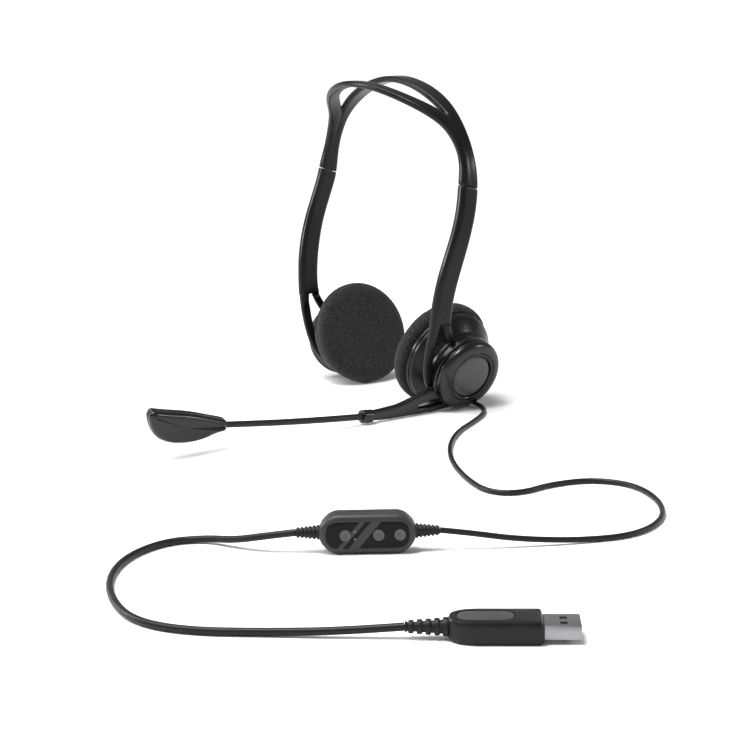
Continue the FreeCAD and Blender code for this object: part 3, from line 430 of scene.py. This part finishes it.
class Finish:
    """A material and the nodes behind its shader."""

    def __init__(self, name, **constants):
        self.material = bpy.data.materials.new(name)
        self.material.use_nodes = True
        self.tree = self.material.node_tree
        self.shader = next(node for node in self.tree.nodes if node.type == "BSDF_PRINCIPLED")
        for key, value in constants.items():
            self.shader.inputs[key.replace("_", " ")].default_value = value
        self.place = self.node("ShaderNodeTexCoord", {}, {}, "Object")

    def node(self, kind, settings, inputs, output=0):
        """Add a node: its settings first, then the values or links of its sockets."""
        node = self.tree.nodes.new(kind)
        for key, value in settings.items():
            if key == "stops":
                for element, (position, shade) in zip(self._stops(node, len(value)), value):
                    element.position = position
                    element.color = (shade, shade, shade, 1)
            else:
                setattr(node, key, value)
        for key, value in inputs.items():
            socket = self._socket(node.inputs, key)
            if isinstance(value, Value):
                self.tree.links.new(value.socket, socket)
            else:
                socket.default_value = value
        return Value(self, self._socket(node.outputs, output))

    @staticmethod
    def _stops(node, count):
        elements = node.color_ramp.elements
        while len(elements) < count:
            elements.new(0.5)
        return list(elements)

    @staticmethod
    def _socket(sockets, key):
        if isinstance(key, int):
            return sockets[key]
        return next(socket for socket in sockets if key in (socket.identifier, socket.name))

    def stretched(self, scale):
        """The place on the piece, stretched along the frame's axes."""
        return self.node("ShaderNodeMapping", {}, {"Vector": self.place, "Scale": scale}, "Vector")

    def noise(self, scale, detail=3.0, roughness=0.55, where=None):
        inputs = {"Vector": where or self.place, "Scale": scale, "Detail": detail, "Roughness": roughness}
        return self.node("ShaderNodeTexNoise", {}, inputs, "Fac")

    def cells(self, scale, feature="F1"):
        return self.node("ShaderNodeTexVoronoi", {"feature": feature},
                         {"Vector": self.place, "Scale": scale}, "Distance")

    def ramp(self, value, stops):
        return self.node("ShaderNodeValToRGB", {"stops": stops}, {"Fac": value}, "Color")

    def mixed(self, factor, first, second):
        return self.node("ShaderNodeMix", {"data_type": "RGBA"},
                         {"Factor_Float": factor, "A_Color": first, "B_Color": second}, "Result_Color")

    def feed(self, **values):
        for key, value in values.items():
            self.tree.links.new(value.socket, self.shader.inputs[key.replace("_", " ")])

    def bump(self, height, strength, distance):
        self.feed(Normal=self.node("ShaderNodeBump", {},
                                   {"Height": height, "Strength": strength, "Distance": distance}, "Normal"))


def shade(level):
    """A grey with a trace of blue."""
    return (level, level, level * BLUE_TRACE, 1)


def plastic(name, level, rough, grain, **constants):
    """Moulded plastic: slight unevenness of tone, cloudy gloss, a spark-eroded grain and faint handling."""
    finish = Finish(name, **constants)
    clouds = finish.noise(95, 2.0)
    specks = finish.noise(2600, 1.0)
    wear = finish.ramp(finish.noise(310, 4.0, 0.7), [(0.52, 0.0), (0.72, 1.0)])
    tone = finish.mixed(clouds, shade(level * 0.75), shade(level * 1.25))
    finish.feed(Base_Color=finish.mixed(wear * 0.25, tone, shade(level * 1.8)))
    finish.feed(Roughness=rough - ROUGHNESS_SPREAD + clouds * (2 * ROUGHNESS_SPREAD) + specks * 0.04)
    finish.bump(specks, grain, 0.00004)
    return finish.material


def polished(name, level, rough, **constants):
    """Glossy plastic with faint hairlines, dust and handling marks in its gloss."""
    finish = Finish(name, **constants)
    lines = finish.noise(900, 2.0, 0.6, finish.stretched((1.0, 0.05, 0.3)))
    marks = finish.ramp(finish.noise(140, 3.0), [(0.45, 0.0), (0.75, 1.0)])
    dust = finish.ramp(finish.cells(700), [(0.0, 1.0), (0.045, 0.0)])
    finish.feed(Base_Color=finish.mixed(dust * 0.3, shade(level), shade(level + 0.05)))
    finish.feed(Roughness=rough + marks * 0.07 + lines * 0.05 + dust * 0.2)
    finish.bump(finish.noise(60, 1.0) + lines * 0.05, 0.06, 0.0002)
    return finish.material


def foam(name):
    """Open-cell foam: dark cells between paler struts, with soft lumps underneath."""
    finish = Finish(name, Sheen_Weight=0.08, Sheen_Roughness=0.5, Specular_IOR_Level=0.1)
    cells = finish.cells(1500)
    fine = finish.noise(2600, 2.0, 0.7)
    lumps = finish.noise(160, 2.0)
    struts = finish.ramp(cells * 0.6 + fine * 0.6, [(0.42, 0.0), (0.78, 1.0)])
    tone = finish.mixed(lumps, shade(0.002), shade(0.004))
    finish.feed(Base_Color=finish.mixed(struts, tone, shade(0.032)))
    finish.feed(Roughness=0.86 + fine * 0.12)
    finish.bump(struts + lumps * 0.4, 0.8, 0.00025)
    return finish.material


def rubber(name, level, rough):
    """Cord jacket and moulded rubber: satin with a dusty tone and slight drag marks."""
    finish = Finish(name, Specular_IOR_Level=0.22)
    drag = finish.noise(220, 3.0, 0.6)
    dust = finish.ramp(finish.noise(900, 3.0, 0.7), [(0.5, 0.0), (0.8, 1.0)])
    tone = finish.mixed(drag, shade(level * 0.8), shade(level * 1.3))
    finish.feed(Base_Color=finish.mixed(dust * 0.3, tone, shade(level * 2.2)))
    finish.feed(Roughness=rough - 0.06 + drag * 0.14)
    finish.bump(drag + dust * 0.3, 0.18, 0.0001)
    return finish.material


def metal(name, colour, rough):
    """Plated metal with a drawn grain and a few darker stains."""
    finish = Finish(name, Metallic=1.0)
    grain = finish.noise(2400, 2.0, 0.6, finish.stretched(BRUSHED))
    stain = finish.ramp(finish.noise(260, 3.0), [(0.55, 0.0), (0.85, 1.0)])
    dark = tuple(channel * 0.6 for channel in colour) + (1,)
    finish.feed(Base_Color=finish.mixed(stain * 0.5, colour + (1,), dark))
    finish.feed(Roughness=rough + grain * 0.12 + stain * 0.1)
    finish.bump(grain, 0.15, 0.00003)
    return finish.material


def cap_finish(name, level):
    """The cap's dark grey lacquer over fine flakes."""
    finish = Finish(name, Specular_IOR_Level=0.3, Coat_Weight=0.2, Coat_Roughness=0.12)
    flakes = finish.ramp(finish.cells(2600), [(0.0, 1.0), (0.35, 0.0)])
    cloud = finish.noise(120, 2.0)
    tone = finish.mixed(cloud, shade(level * 0.8), shade(level * 1.2))
    finish.feed(Base_Color=finish.mixed(flakes * 0.5, tone, shade(level * 2.4)))
    finish.feed(Roughness=0.3 + cloud * 0.12)
    finish.bump(flakes, 0.1, 0.00003)
    return finish.material


def plate_with_painted_reflections(name):
    """The control's lacquered plate: near black with one narrow and one broad slanted band of painted
    reflection, grey painted into its colour in place of the lamps' reflections.
    """
    finish = Finish(name, Specular_IOR_Level=0.12)
    across = Vector((CONTROL_WAY.x, CONTROL_WAY.y, -BANDS_LEAN))
    origin = control_place(0, 0, 0).dot(across)
    along = finish.node("ShaderNodeVectorMath", {"operation": "DOT_PRODUCT"},
                        {0: finish.place, 1: across}, "Value")
    span = (along - (origin - BANDS_START * MM)) / (BANDS_LENGTH * MM)
    cloud = finish.noise(400, 2.0)
    # soft holds the painted reflection: two slanted bands standing in for reflections of the lamps.
    soft = finish.ramp(span + (cloud - 0.5) * 0.01, BANDS_STOPS)
    dust = finish.ramp(finish.cells(900), [(0.0, 1.0), (0.04, 0.0)])
    # The painted reflection lifts the base colour from near black to grey inside the bands.
    tone = finish.mixed(soft, shade(0.004), shade(0.045))
    finish.feed(Base_Color=finish.mixed(dust * 0.3, tone, shade(0.12)))
    finish.feed(Roughness=0.1 + dust * 0.2 + soft * 0.05)
    return finish.material


def board_finish(name):
    finish = Finish(name, Coat_Weight=0.3)
    tracks = finish.ramp(finish.cells(420, "DISTANCE_TO_EDGE"), [(0.02, 1.0), (0.06, 0.0)])
    finish.feed(Base_Color=finish.mixed(tracks, (0.01, 0.10, 0.03, 1), (0.05, 0.25, 0.09, 1)))
    finish.feed(Roughness=0.35 + tracks * 0.2)
    return finish.material


MATERIALS = {}


def make_materials(look):
    """One finish for each material slot of the record."""
    MATERIALS.update({
        "satin_black_plastic": plastic("satin_black_plastic", look.plastic_level, look.plastic_gloss, 0.22,
                                       Specular_IOR_Level=0.18),
        "gloss_black_plastic": polished("gloss_black_plastic", 0.005, 0.22, Specular_IOR_Level=0.36),
        "grey_cap_plastic": cap_finish("grey_cap_plastic", look.cap_level),
        "black_trim": polished("black_trim", 0.005, 0.12, Specular_IOR_Level=0.3),
        "ear_foam": foam("ear_foam"),
        "speaker_film": plastic("speaker_film", 0.08, 0.4, 0.1),
        "speaker_metal": metal("speaker_metal", (0.45, 0.45, 0.46), 0.3),
        "spring_steel": metal("spring_steel", (0.20, 0.20, 0.21), 0.30),
        "friction_washer": plastic("friction_washer", 0.35, 0.45, 0.1),
        "boom_tube_plastic": plastic("boom_tube_plastic", 0.009, 0.36, 0.2, Specular_IOR_Level=0.25),
        "capsule_metal": metal("capsule_metal", (0.5, 0.5, 0.5), 0.3),
        "screen_fabric": foam("screen_fabric"),
        "cord_jacket": rubber("cord_jacket", look.cord_level, 0.40),
        "moulded_rubber": rubber("moulded_rubber", 0.011, 0.44),
        "control_grey_plastic": plastic("control_grey_plastic", look.control_level, 0.42, 0.35,
                                        Specular_IOR_Level=0.3),
        "control_gloss_plate": plate_with_painted_reflections("control_gloss_plate"),
        "button_grey_rubber": rubber("button_grey_rubber", 0.085, 0.42),
        "inner_rubber": rubber("inner_rubber", 0.25, 0.5),
        "circuit_board": board_finish("circuit_board"),
        "lamp_lens": polished("lamp_lens", 0.10, 0.15, Coat_Weight=0.5),
        "plug_black_plastic": plastic("plug_black_plastic", 0.008, 0.34, 0.2, Specular_IOR_Level=0.22),
        "plug_grey_panel": plastic("plug_grey_panel", 0.048, 0.44, 0.3, Specular_IOR_Level=0.3),
        "usb_steel": metal("usb_steel", (0.30, 0.30, 0.31), 0.34),
        "usb_black_plastic": plastic("usb_black_plastic", 0.015, 0.4, 0.1),
        "usb_gold": metal("usb_gold", (0.83, 0.62, 0.24), 0.2),
    })


# ---- settings -------------------------------------------------------------------------------------


class HeadsetLook(bpy.types.PropertyGroup):
    """Tones and glosses that a user may change."""
    plastic_level: bpy.props.FloatProperty(
        name="Arm tone", description="Brightness of the satin black plastic", default=0.005, min=0, max=1)
    plastic_gloss: bpy.props.FloatProperty(
        name="Arm roughness", description="Roughness of the satin black plastic", default=0.26, min=0, max=1)
    cap_level: bpy.props.FloatProperty(
        name="Cap tone", description="Brightness of the grey caps", default=0.036, min=0, max=1)
    cord_level: bpy.props.FloatProperty(
        name="Cord tone", description="Brightness of the cord's jacket", default=0.008, min=0, max=1)
    control_level: bpy.props.FloatProperty(
        name="Control tone", description="Brightness of the in-line control", default=0.028, min=0, max=1)


class HeadsetSizes(bpy.types.PropertyGroup):
    """Sizes of the soft and fine pieces."""
    cord_upper: bpy.props.FloatProperty(
        name="Upper cord", description="Diameter of the cord from cup to control", default=0.0023,
        unit="LENGTH", subtype="DISTANCE")
    cord_lower: bpy.props.FloatProperty(
        name="Lower cord", description="Diameter of the cord from control to plug", default=0.0028,
        unit="LENGTH", subtype="DISTANCE")
    foam_grain: bpy.props.FloatProperty(
        name="Foam grain", description="Height of the foam's open cells", default=0.00008,
        unit="LENGTH", subtype="DISTANCE")
    arm_voxel: bpy.props.FloatProperty(
        name="Arm detail", description="Finest detail of the moulded arms", default=0.00045,
        unit="LENGTH", subtype="DISTANCE")


class HeadsetStage(bpy.types.PropertyGroup):
    """Camera and light."""
    azimuth: bpy.props.FloatProperty(
        name="Azimuth", description="Camera's direction round the headset", default=math.radians(55),
        subtype="ANGLE")
    elevation: bpy.props.FloatProperty(
        name="Elevation", description="Camera's height angle", default=math.radians(12), subtype="ANGLE")
    roll: bpy.props.FloatProperty(
        name="Roll", description="Camera's tilt", default=math.radians(-1), subtype="ANGLE")
    distance: bpy.props.FloatProperty(
        name="Distance", description="From the camera to its aim", default=0.9, unit="LENGTH",
        subtype="DISTANCE")
    lens: bpy.props.FloatProperty(
        name="Lens", description="Focal length in millimetres", default=85.26)
    key: bpy.props.FloatProperty(
        name="Key light", description="Power of the key lamp in watts", default=3.6)
    ceiling: bpy.props.FloatProperty(
        name="Ceiling light", description="Strength of the even light from above", default=3.1)
    surround: bpy.props.FloatProperty(
        name="Surround", description="Brightness of the studio's walls", default=0.30)


# ---- operators ------------------------------------------------------------------------------------


class HEADSET_OT_stage(bpy.types.Operator):
    """Floor, background light, lamps and camera"""
    bl_idname = "headset.stage"
    bl_label = "Stage"

    def execute(self, context):
        settings = context.scene.headset_stage
        self.add_floor(context, settings)
        self.add_lights(context, settings)
        self.add_camera(context, settings)
        return {"FINISHED"}

    @staticmethod
    def add_floor(context, settings):
        steps = 96
        turn = [2 * math.pi * index / steps for index in range(steps)]
        rings = [[Vector((reach * math.cos(a), reach * math.sin(a), height)) for a in turn]
                 for reach, height in PAPER]
        bm = bmesh.new()
        loops = [[bm.verts.new(point) for point in ring] for ring in rings]
        bm.faces.new(loops[0])
        for low, high in zip(loops, loops[1:]):
            for index in range(steps):
                after = (index + 1) % steps
                bm.faces.new((low[index], high[index], high[after], low[after]))
        paper = Finish("floor_paper", Specular_IOR_Level=0.1)
        grain = paper.noise(14, 2.0)
        paper.feed(Base_Color=paper.mixed(grain, (0.90, 0.90, 0.90, 1), (0.93, 0.93, 0.93, 1)))
        paper.feed(Roughness=0.85 + grain * 0.1)
        new_object("floor", finished_mesh("floor", bm), paper.material)
        context.scene.view_settings.view_transform = "Standard"
        world = bpy.data.worlds.new("studio")
        context.scene.world = world
        world.use_nodes = True
        background = world.node_tree.nodes["Background"]
        background.inputs["Color"].default_value = (1, 1, 1, 1)
        background.inputs["Strength"].default_value = settings.surround

    @staticmethod
    def add_lights(context, settings):
        data = bpy.data.lights.new("ceiling", "SUN")
        data.energy = settings.ceiling
        data.angle = CEILING_SPREAD
        lamp = bpy.data.objects.new("ceiling", data)
        context.scene.collection.objects.link(lamp)
        lamp.rotation_euler = CEILING_FROM.to_track_quat("Z", "Y").to_euler()
        for name, at, size, share in LAMPS:
            data = bpy.data.lights.new(name, "AREA")
            data.shape = "RECTANGLE"
            data.size = size
            data.size_y = size * 0.7
            data.energy = settings.key * share
            lamp = bpy.data.objects.new(name, data)
            context.scene.collection.objects.link(lamp)
            lamp.location = at
            lamp.rotation_euler = (Vector(at) - LAMPS_AIM).to_track_quat("Z", "Y").to_euler()

    @staticmethod
    def add_camera(context, settings):
        turn, rise, roll = settings.azimuth, settings.elevation, settings.roll
        back = Vector((math.sin(turn) * math.cos(rise), -math.cos(turn) * math.cos(rise), math.sin(rise)))
        level = Vector((math.cos(turn), math.sin(turn), 0))
        over = back.cross(level)
        right = level * math.cos(roll) + over * math.sin(roll)
        up = over * math.cos(roll) - level * math.sin(roll)
        data = bpy.data.cameras.new("camera")
        data.sensor_width = 36.0
        data.lens = settings.lens
        data.clip_start = 0.01
        camera = bpy.data.objects.new("camera", data)
        context.scene.collection.objects.link(camera)
        camera.matrix_world = Matrix.Translation(CAMERA_AIM + back * settings.distance) @ Matrix(
            (right, up, back)).transposed().to_4x4()
        context.scene.camera = camera


class HEADSET_OT_finishes(bpy.types.Operator):
    """Make the finishes and give each structural part its own"""
    bl_idname = "headset.finishes"
    bl_label = "Finishes"

    def execute(self, context):
        make_materials(context.scene.headset_look)
        for row in frame["record"]["subparts"]:
            node = NODES[row["node"]]
            material = MATERIALS[row["material_slot"]]
            if not node.material_slots:
                raise RuntimeError(f"{node.name} has no material slot")
            for slot in node.material_slots:
                slot.material = material
        return {"FINISHED"}


def round_cord(name, route, diameter):
    """A cord as one smooth spline with its route's points as control points."""
    curve = bpy.data.curves.new(name, "CURVE")
    curve.dimensions = "3D"
    spline = curve.splines.new("NURBS")
    spline.points.add(len(route) - 1)
    for point, at in zip(spline.points, route):
        point.co = (*table_place(at), 1)
    spline.order_u = 3
    spline.use_endpoint_u = True
    spline.resolution_u = 14
    curve.bevel_depth = diameter / 2
    curve.bevel_resolution = 7
    curve.use_fill_caps = True
    piece = bpy.data.objects.new(name, curve)
    bpy.context.scene.collection.objects.link(piece)
    curve.materials.append(MATERIALS["cord_jacket"])
    return piece


class HEADSET_OT_cords(bpy.types.Operator):
    """The cord from the cup to the control and on to the plug"""
    bl_idname = "headset.cords"
    bl_label = "Cords"

    def execute(self, context):
        sizes = context.scene.headset_sizes
        upper = round_cord("upper_cord", CORD_UPPER, sizes.cord_upper)
        lower = round_cord("lower_cord", CORD_LOWER, sizes.cord_lower)
        settle(upper, "left_side", "cord_jacket", "cord_upper")
        settle(lower, "left_side", "cord_jacket", "cord_lower")
        return {"FINISHED"}


class HEADSET_OT_pads(bpy.types.Operator):
    """The two foam ear pads"""
    bl_idname = "headset.pads"
    bl_label = "Ear pads"

    def execute(self, context):
        grain = context.scene.headset_sizes.foam_grain / MM
        for side, word in ((1, "left"), (-1, "right")):
            pad = self.make_pad(f"{word}_foam_pad", side, grain)
            settle(pad, f"{word}_side", "ear_foam", f"{word}_ear_pad")
        return {"FINISHED"}

    @staticmethod
    def make_pad(name, side, grain):
        """A crowned foam disc: full at its rim, a little hollow in the middle and tucked in behind."""
        profile = eased(PAD, 2.6, 6)
        dense = []
        for (r0, d0), (r1, d1) in zip(profile, profile[1:]):
            count = max(1, round(math.hypot(r1 - r0, d1 - d0) / 0.5))
            dense += [(r0 + (r1 - r0) * i / count, d0 + (d1 - d0) * i / count) for i in range(count)]
        dense.append(profile[-1])
        pad = turned(name, dense, cup_place(side), MATERIALS["ear_foam"], steps=260)
        mesh = pad.data
        normals = [entry.vector.copy() for entry in mesh.vertex_normals]
        for vert, normal in zip(mesh.vertices, normals):
            lumps = noise.noise(vert.co * 75 + Vector((3.1, 1.7, side)))
            cells = noise.noise(vert.co * 900)
            vert.co += normal * (lumps * 0.26 + cells * grain) * MM
        mesh.set_sharp_from_angle(angle=math.pi)
        return pad


class HEADSET_OT_cups(bpy.types.Operator):
    """Baffles, shells, covers, bezels and caps of the two cups"""
    bl_idname = "headset.cups"
    bl_label = "Cups"

    def execute(self, context):
        for side, word in ((1, "left"), (-1, "right")):
            place = cup_place(side)
            body = f"{word}_side"
            parts = (
                ("cover_dome", eased(COVER, 0.7), "gloss_black_plastic", "cup_cover", True),
                ("trim_ring", eased(BEZEL, 0.25), "black_trim", "cap_bezel", True),
                ("cap_disc", eased(CAP, 0.4), "grey_cap_plastic", "cap", False),
                ("cup_back", eased(SHELL, 0.5), "satin_black_plastic", "cup_shell", True),
                ("baffle_disc", eased(BAFFLE, 0.4), "satin_black_plastic", "speaker_baffle", False),
            )
            for label, profile, slot, node, closed in parts:
                piece = turned(f"{word}_{label}", profile, place, MATERIALS[slot], closed)
                settle(piece, body, slot, f"{word}_{node}")
        satin = MATERIALS["satin_black_plastic"]
        ring = turned("right_spacer", eased(SPACER, 0.3), cup_place(-1), satin, True)
        settle(ring, "right_side", "satin_black_plastic", "right_spacer_ring")
        return {"FINISHED"}


class HEADSET_OT_arms(bpy.types.Operator):
    """The two wishbone arms and the split headband"""
    bl_idname = "headset.arms"
    bl_label = "Arms and headband"

    def execute(self, context):
        voxel = context.scene.headset_sizes.arm_voxel
        plan = (
            ("left_wishbone", "left_arm", "left_side"),
            ("right_wishbone", "right_arm", "right_side"),
            ("head_strips", "headband", "headband"),
        )
        for name, node, body in plan:
            piece = moulded(name, node, MATERIALS["satin_black_plastic"], voxel)
            settle(piece, body, "satin_black_plastic", node)
        return {"FINISHED"}


class HEADSET_OT_boom(bpy.types.Operator):
    """Boom ring with its fork, tube and microphone"""
    bl_idname = "headset.boom"
    bl_label = "Microphone boom"

    def execute(self, context):
        root = moulded("boom_fork", "boom_root", MATERIALS["gloss_black_plastic"], 0.0004)
        settle(root, "boom", "gloss_black_plastic", "boom_root")
        self.make_tube()
        self.make_microphone()
        return {"FINISHED"}

    @staticmethod
    def make_tube():
        place = cup_place(1)
        points = [place(*point) for point in curve_through(TUBE)]
        last = len(points) - 1
        radii = [(TUBE_RADIUS - TUBE_TAPER * index / last) * MM for index in range(last + 1)]
        tube = swept("boom_sleeve", points, radii, MATERIALS["boom_tube_plastic"])
        settle(tube, "boom", "boom_tube_plastic", "boom_tube")

    @staticmethod
    def make_microphone():
        cup = cup_place(1)
        outline = rounded_outline(MIC_CORNERS, MIC_ROUNDING)
        # The corners run clockwise and the slab's sides are built the other way round.
        outline.reverse()

        def place(point, depth):
            return cup(point.x, point.y, MIC_MIDDLE + depth)

        shells = (
            ("mic_outer_half", MIC_OUTER, "microphone_outer_shell"),
            ("mic_inner_half", MIC_INNER, "microphone_inner_shell"),
        )
        for name, profile, node in shells:
            shell = pillow(name, outline, profile, place, MATERIALS["gloss_black_plastic"], 40)
            settle(shell, "boom", "gloss_black_plastic", node)


class HEADSET_OT_control(bpy.types.Operator):
    """The in-line control with its plate and buttons"""
    bl_idname = "headset.control"
    bl_label = "In-line control"

    def execute(self, context):
        half, high = CONTROL_HALF
        corner = CONTROL_CORNER
        corners = [
            (half, corner - high), (half, high - corner), (half - corner, high), (corner - half, high),
            (-half, high - corner), (-half, corner - high), (corner - half, -high), (half - corner, -high)]
        outline = rounded_outline(corners, [3.0])

        def place(point, depth):
            return control_place(point.x, depth, point.y)

        grey = MATERIALS["control_grey_plastic"]
        front_half = pillow("control_front_half", outline, CONTROL_FRONT, place, grey)
        back_half = pillow("control_back_half", outline, CONTROL_BACK, place, grey)
        wide, tall = PLATE_HALF
        plate_corners = [(wide, -tall), (wide, tall), (-wide, tall), (-wide, -tall)]
        plate_outline = rounded_outline(plate_corners, [4.8], 10)
        gloss = MATERIALS["control_gloss_plate"]
        plate = pillow("control_face_plate", plate_outline, PLATE_EDGE, place, gloss)
        drilled(front_half, self.hole_tools())
        drilled(plate, self.hole_tools())
        settle(front_half, "left_side", "control_grey_plastic", "control_front_case")
        settle(back_half, "left_side", "control_grey_plastic", "control_back_case")
        settle(plate, "left_side", "control_gloss_plate", "control_plate")
        for name, x, sign in KEYS:
            self.make_button(name, x, sign)
        return {"FINISHED"}

    def hole_tools(self):
        tools = []
        for name, x, _ in KEYS:
            tools.append(turned(f"{name}_hole", [(KEY_HOLE, -7), (KEY_HOLE, -1.5)], self.button_place(x),
                                MATERIALS["control_grey_plastic"], steps=48))
        return tools

    @staticmethod
    def button_place(x):
        def place(across, up, depth):
            return control_place(x + across, depth, up)
        return place

    def make_button(self, name, x, sign):
        """A dished key with a raised sign."""
        place = self.button_place(x)
        key_rubber = MATERIALS["button_grey_rubber"]
        key = turned(f"{name}_key", eased(KEY_PROFILE, 0.2), place, key_rubber, steps=64)
        bm = bmesh.new()
        bm.from_mesh(key.data)
        for angle, reach, half in SIGNS[sign]:
            along = Vector((math.cos(angle), math.sin(angle)))
            side = Vector((-along.y, along.x))
            corners = [along * a + side * b for a, b in
                       ((reach, half), (-reach, half), (-reach, -half), (reach, -half))]
            outline = rounded_outline(corners, [half * 0.9], 4)
            rings = [[place(point.x, point.y, depth) for point in inset_outline(outline, amount)]
                     for amount, depth in SIGN_EDGE]
            sign_mesh = stack_rings("sign", rings)
            bm.from_mesh(sign_mesh)
            bpy.data.meshes.remove(sign_mesh)
        key.data.clear_geometry()
        bm.to_mesh(key.data)
        bm.free()
        for polygon in key.data.polygons:
            polygon.use_smooth = True
        key.data.set_sharp_from_angle(angle=math.radians(32))
        settle(key, name, "button_grey_rubber", name)


def relief_profile(length, thick, thin, ribs, deep):
    """Ribbed strain relief: (radius, distance from the housing)."""
    profile = [(0.3, 0), (thick, 0)]
    pitch = length / ribs
    for index in range(ribs):
        radius = thick + (thin - thick) * (index + 0.5) / ribs
        start = pitch * index
        profile += [(radius, start + pitch * 0.56), (radius - deep, start + pitch * 0.62)]
        if index < ribs - 1:
            following = thick + (thin - thick) * (index + 1.5) / ribs
            profile += [(radius - deep, start + pitch * 0.94), (following, start + pitch)]
    profile += [(thin - 0.15, length - 0.1), (0.3, length)]
    return eased(profile, 0.16, 2)


class HEADSET_OT_reliefs(bpy.types.Operator):
    """Strain reliefs at the cup, the control and the plug"""
    bl_idname = "headset.reliefs"
    bl_label = "Strain reliefs"

    def execute(self, context):
        def upper(across, up, along):
            return control_place(18.1 + along, across, up)

        def lower(across, up, along):
            return control_place(-18.1 - along, across, up)

        def plug(across, up, along):
            return plug_place(0.15 - along, across, PLUG_MIDDLE + up)

        def gland(across, up, along):
            return table_place((44.0 - along, 8.5 + across, 2.4 + up))

        rubbery = MATERIALS["moulded_rubber"]
        plan = (
            ("upper_relief", relief_profile(9.1, 2.9, 1.9, 6, 0.55), upper, "control_relief_upper"),
            ("lower_relief", relief_profile(9.1, 2.9, 1.9, 6, 0.55), lower, "control_relief_lower"),
            ("plug_tail", relief_profile(14.1, 3.2, 2.1, 5, 0.8), plug, "plug_relief"),
        )
        for name, profile, place, node in plan:
            piece = turned(name, profile, place, rubbery, steps=56)
            settle(piece, "left_side", "moulded_rubber", node)
        sleeve = [(0.3, 0), (1.35, 0), (1.75, 0.5), (1.95, 2.0), (1.98, 6.3), (0.3, 6.3)]
        piece = turned("cup_gland", eased(sleeve, 0.3), gland, rubbery, steps=56)
        settle(piece, "left_side", "moulded_rubber", "cord_gland")
        return {"FINISHED"}


class HEADSET_OT_plug(bpy.types.Operator):
    """The USB plug's housing, panel and shell"""
    bl_idname = "headset.plug"
    bl_label = "Plug"

    def execute(self, context):
        def place(point, height):
            return plug_place(point.x, point.y, height)

        corners = [(0.0, -3.5), (5.2, -7.5), (31.0, -7.5), (31.0, 7.5), (5.2, 7.5), (0.0, 3.5)]
        outline = rounded_outline(corners, [2.2, 5.5, 2.0, 2.0, 5.5, 2.2], 9)
        black = MATERIALS["plug_black_plastic"]
        housing = pillow("plug_housing", outline, PLUG_EDGE, place, black)
        pill_corners = [(21.6, -4.2), (21.6, 4.2), (3.0, 4.2), (3.0, -4.2)]
        pill = rounded_outline(pill_corners, [5.2], 12)
        groove = pillow("groove", inset_outline(pill, -0.25), [(0, 7.55), (0, 9)], place, black)
        drilled(housing, [groove])
        settle(housing, "left_side", "plug_black_plastic", "plug_body")
        panel = pillow("plug_panel", pill, PANEL_EDGE, place, MATERIALS["plug_grey_panel"])
        settle(panel, "left_side", "plug_grey_panel", "plug_insert")
        shell = eased_copy("plug_shell", "usb_shell", MATERIALS["usb_steel"], 0.00012)
        settle(shell, "left_side", "usb_steel", "usb_shell")
        return {"FINISHED"}


class HEADSET_OT_cord_facts(bpy.types.Operator):
    """Works out where each cord starts on the table, and does nothing more with it"""
    bl_idname = "headset.cord_facts"
    bl_label = "Cord facts"

    def execute(self, context):
        table_place(CORD_UPPER[0])
        table_place(CORD_LOWER[0])
        return {"FINISHED"}


class HEADSET_PT_panel(bpy.types.Panel):
    """Lists the pieces in the 3D view's sidebar"""
    bl_idname = "HEADSET_PT_panel"
    bl_label = "Office Headset"
    bl_space_type = "VIEW_3D"
    bl_region_type = "UI"
    bl_category = "Headset"

    def draw(self, context):
        for group in (context.scene.headset_look, context.scene.headset_sizes, context.scene.headset_stage):
            for key in group.bl_rna.properties.keys():
                if key not in ("rna_type", "name"):
                    self.layout.prop(group, key)
        for operator in OPERATORS:
            self.layout.operator(operator.bl_idname)


OPERATORS = (
    HEADSET_OT_stage, HEADSET_OT_finishes, HEADSET_OT_cords, HEADSET_OT_pads, HEADSET_OT_cups,
    HEADSET_OT_arms, HEADSET_OT_boom, HEADSET_OT_control, HEADSET_OT_reliefs, HEADSET_OT_plug,
    HEADSET_OT_cord_facts)
CLASSES = (HeadsetLook, HeadsetSizes, HeadsetStage) + OPERATORS + (HEADSET_PT_panel,)


def register():
    for cls in CLASSES:
        bpy.utils.register_class(cls)
    bpy.types.Scene.headset_look = bpy.props.PointerProperty(type=HeadsetLook)
    bpy.types.Scene.headset_sizes = bpy.props.PointerProperty(type=HeadsetSizes)
    bpy.types.Scene.headset_stage = bpy.props.PointerProperty(type=HeadsetStage)


def unregister():
    del bpy.types.Scene.headset_stage
    del bpy.types.Scene.headset_sizes
    del bpy.types.Scene.headset_look
    for cls in reversed(CLASSES):
        bpy.utils.unregister_class(cls)


def main():
    register()
    for operator in OPERATORS:
        group, action = operator.bl_idname.split(".")
        getattr(getattr(bpy.ops, group), action)()


if __name__ == "__main__":
    main()
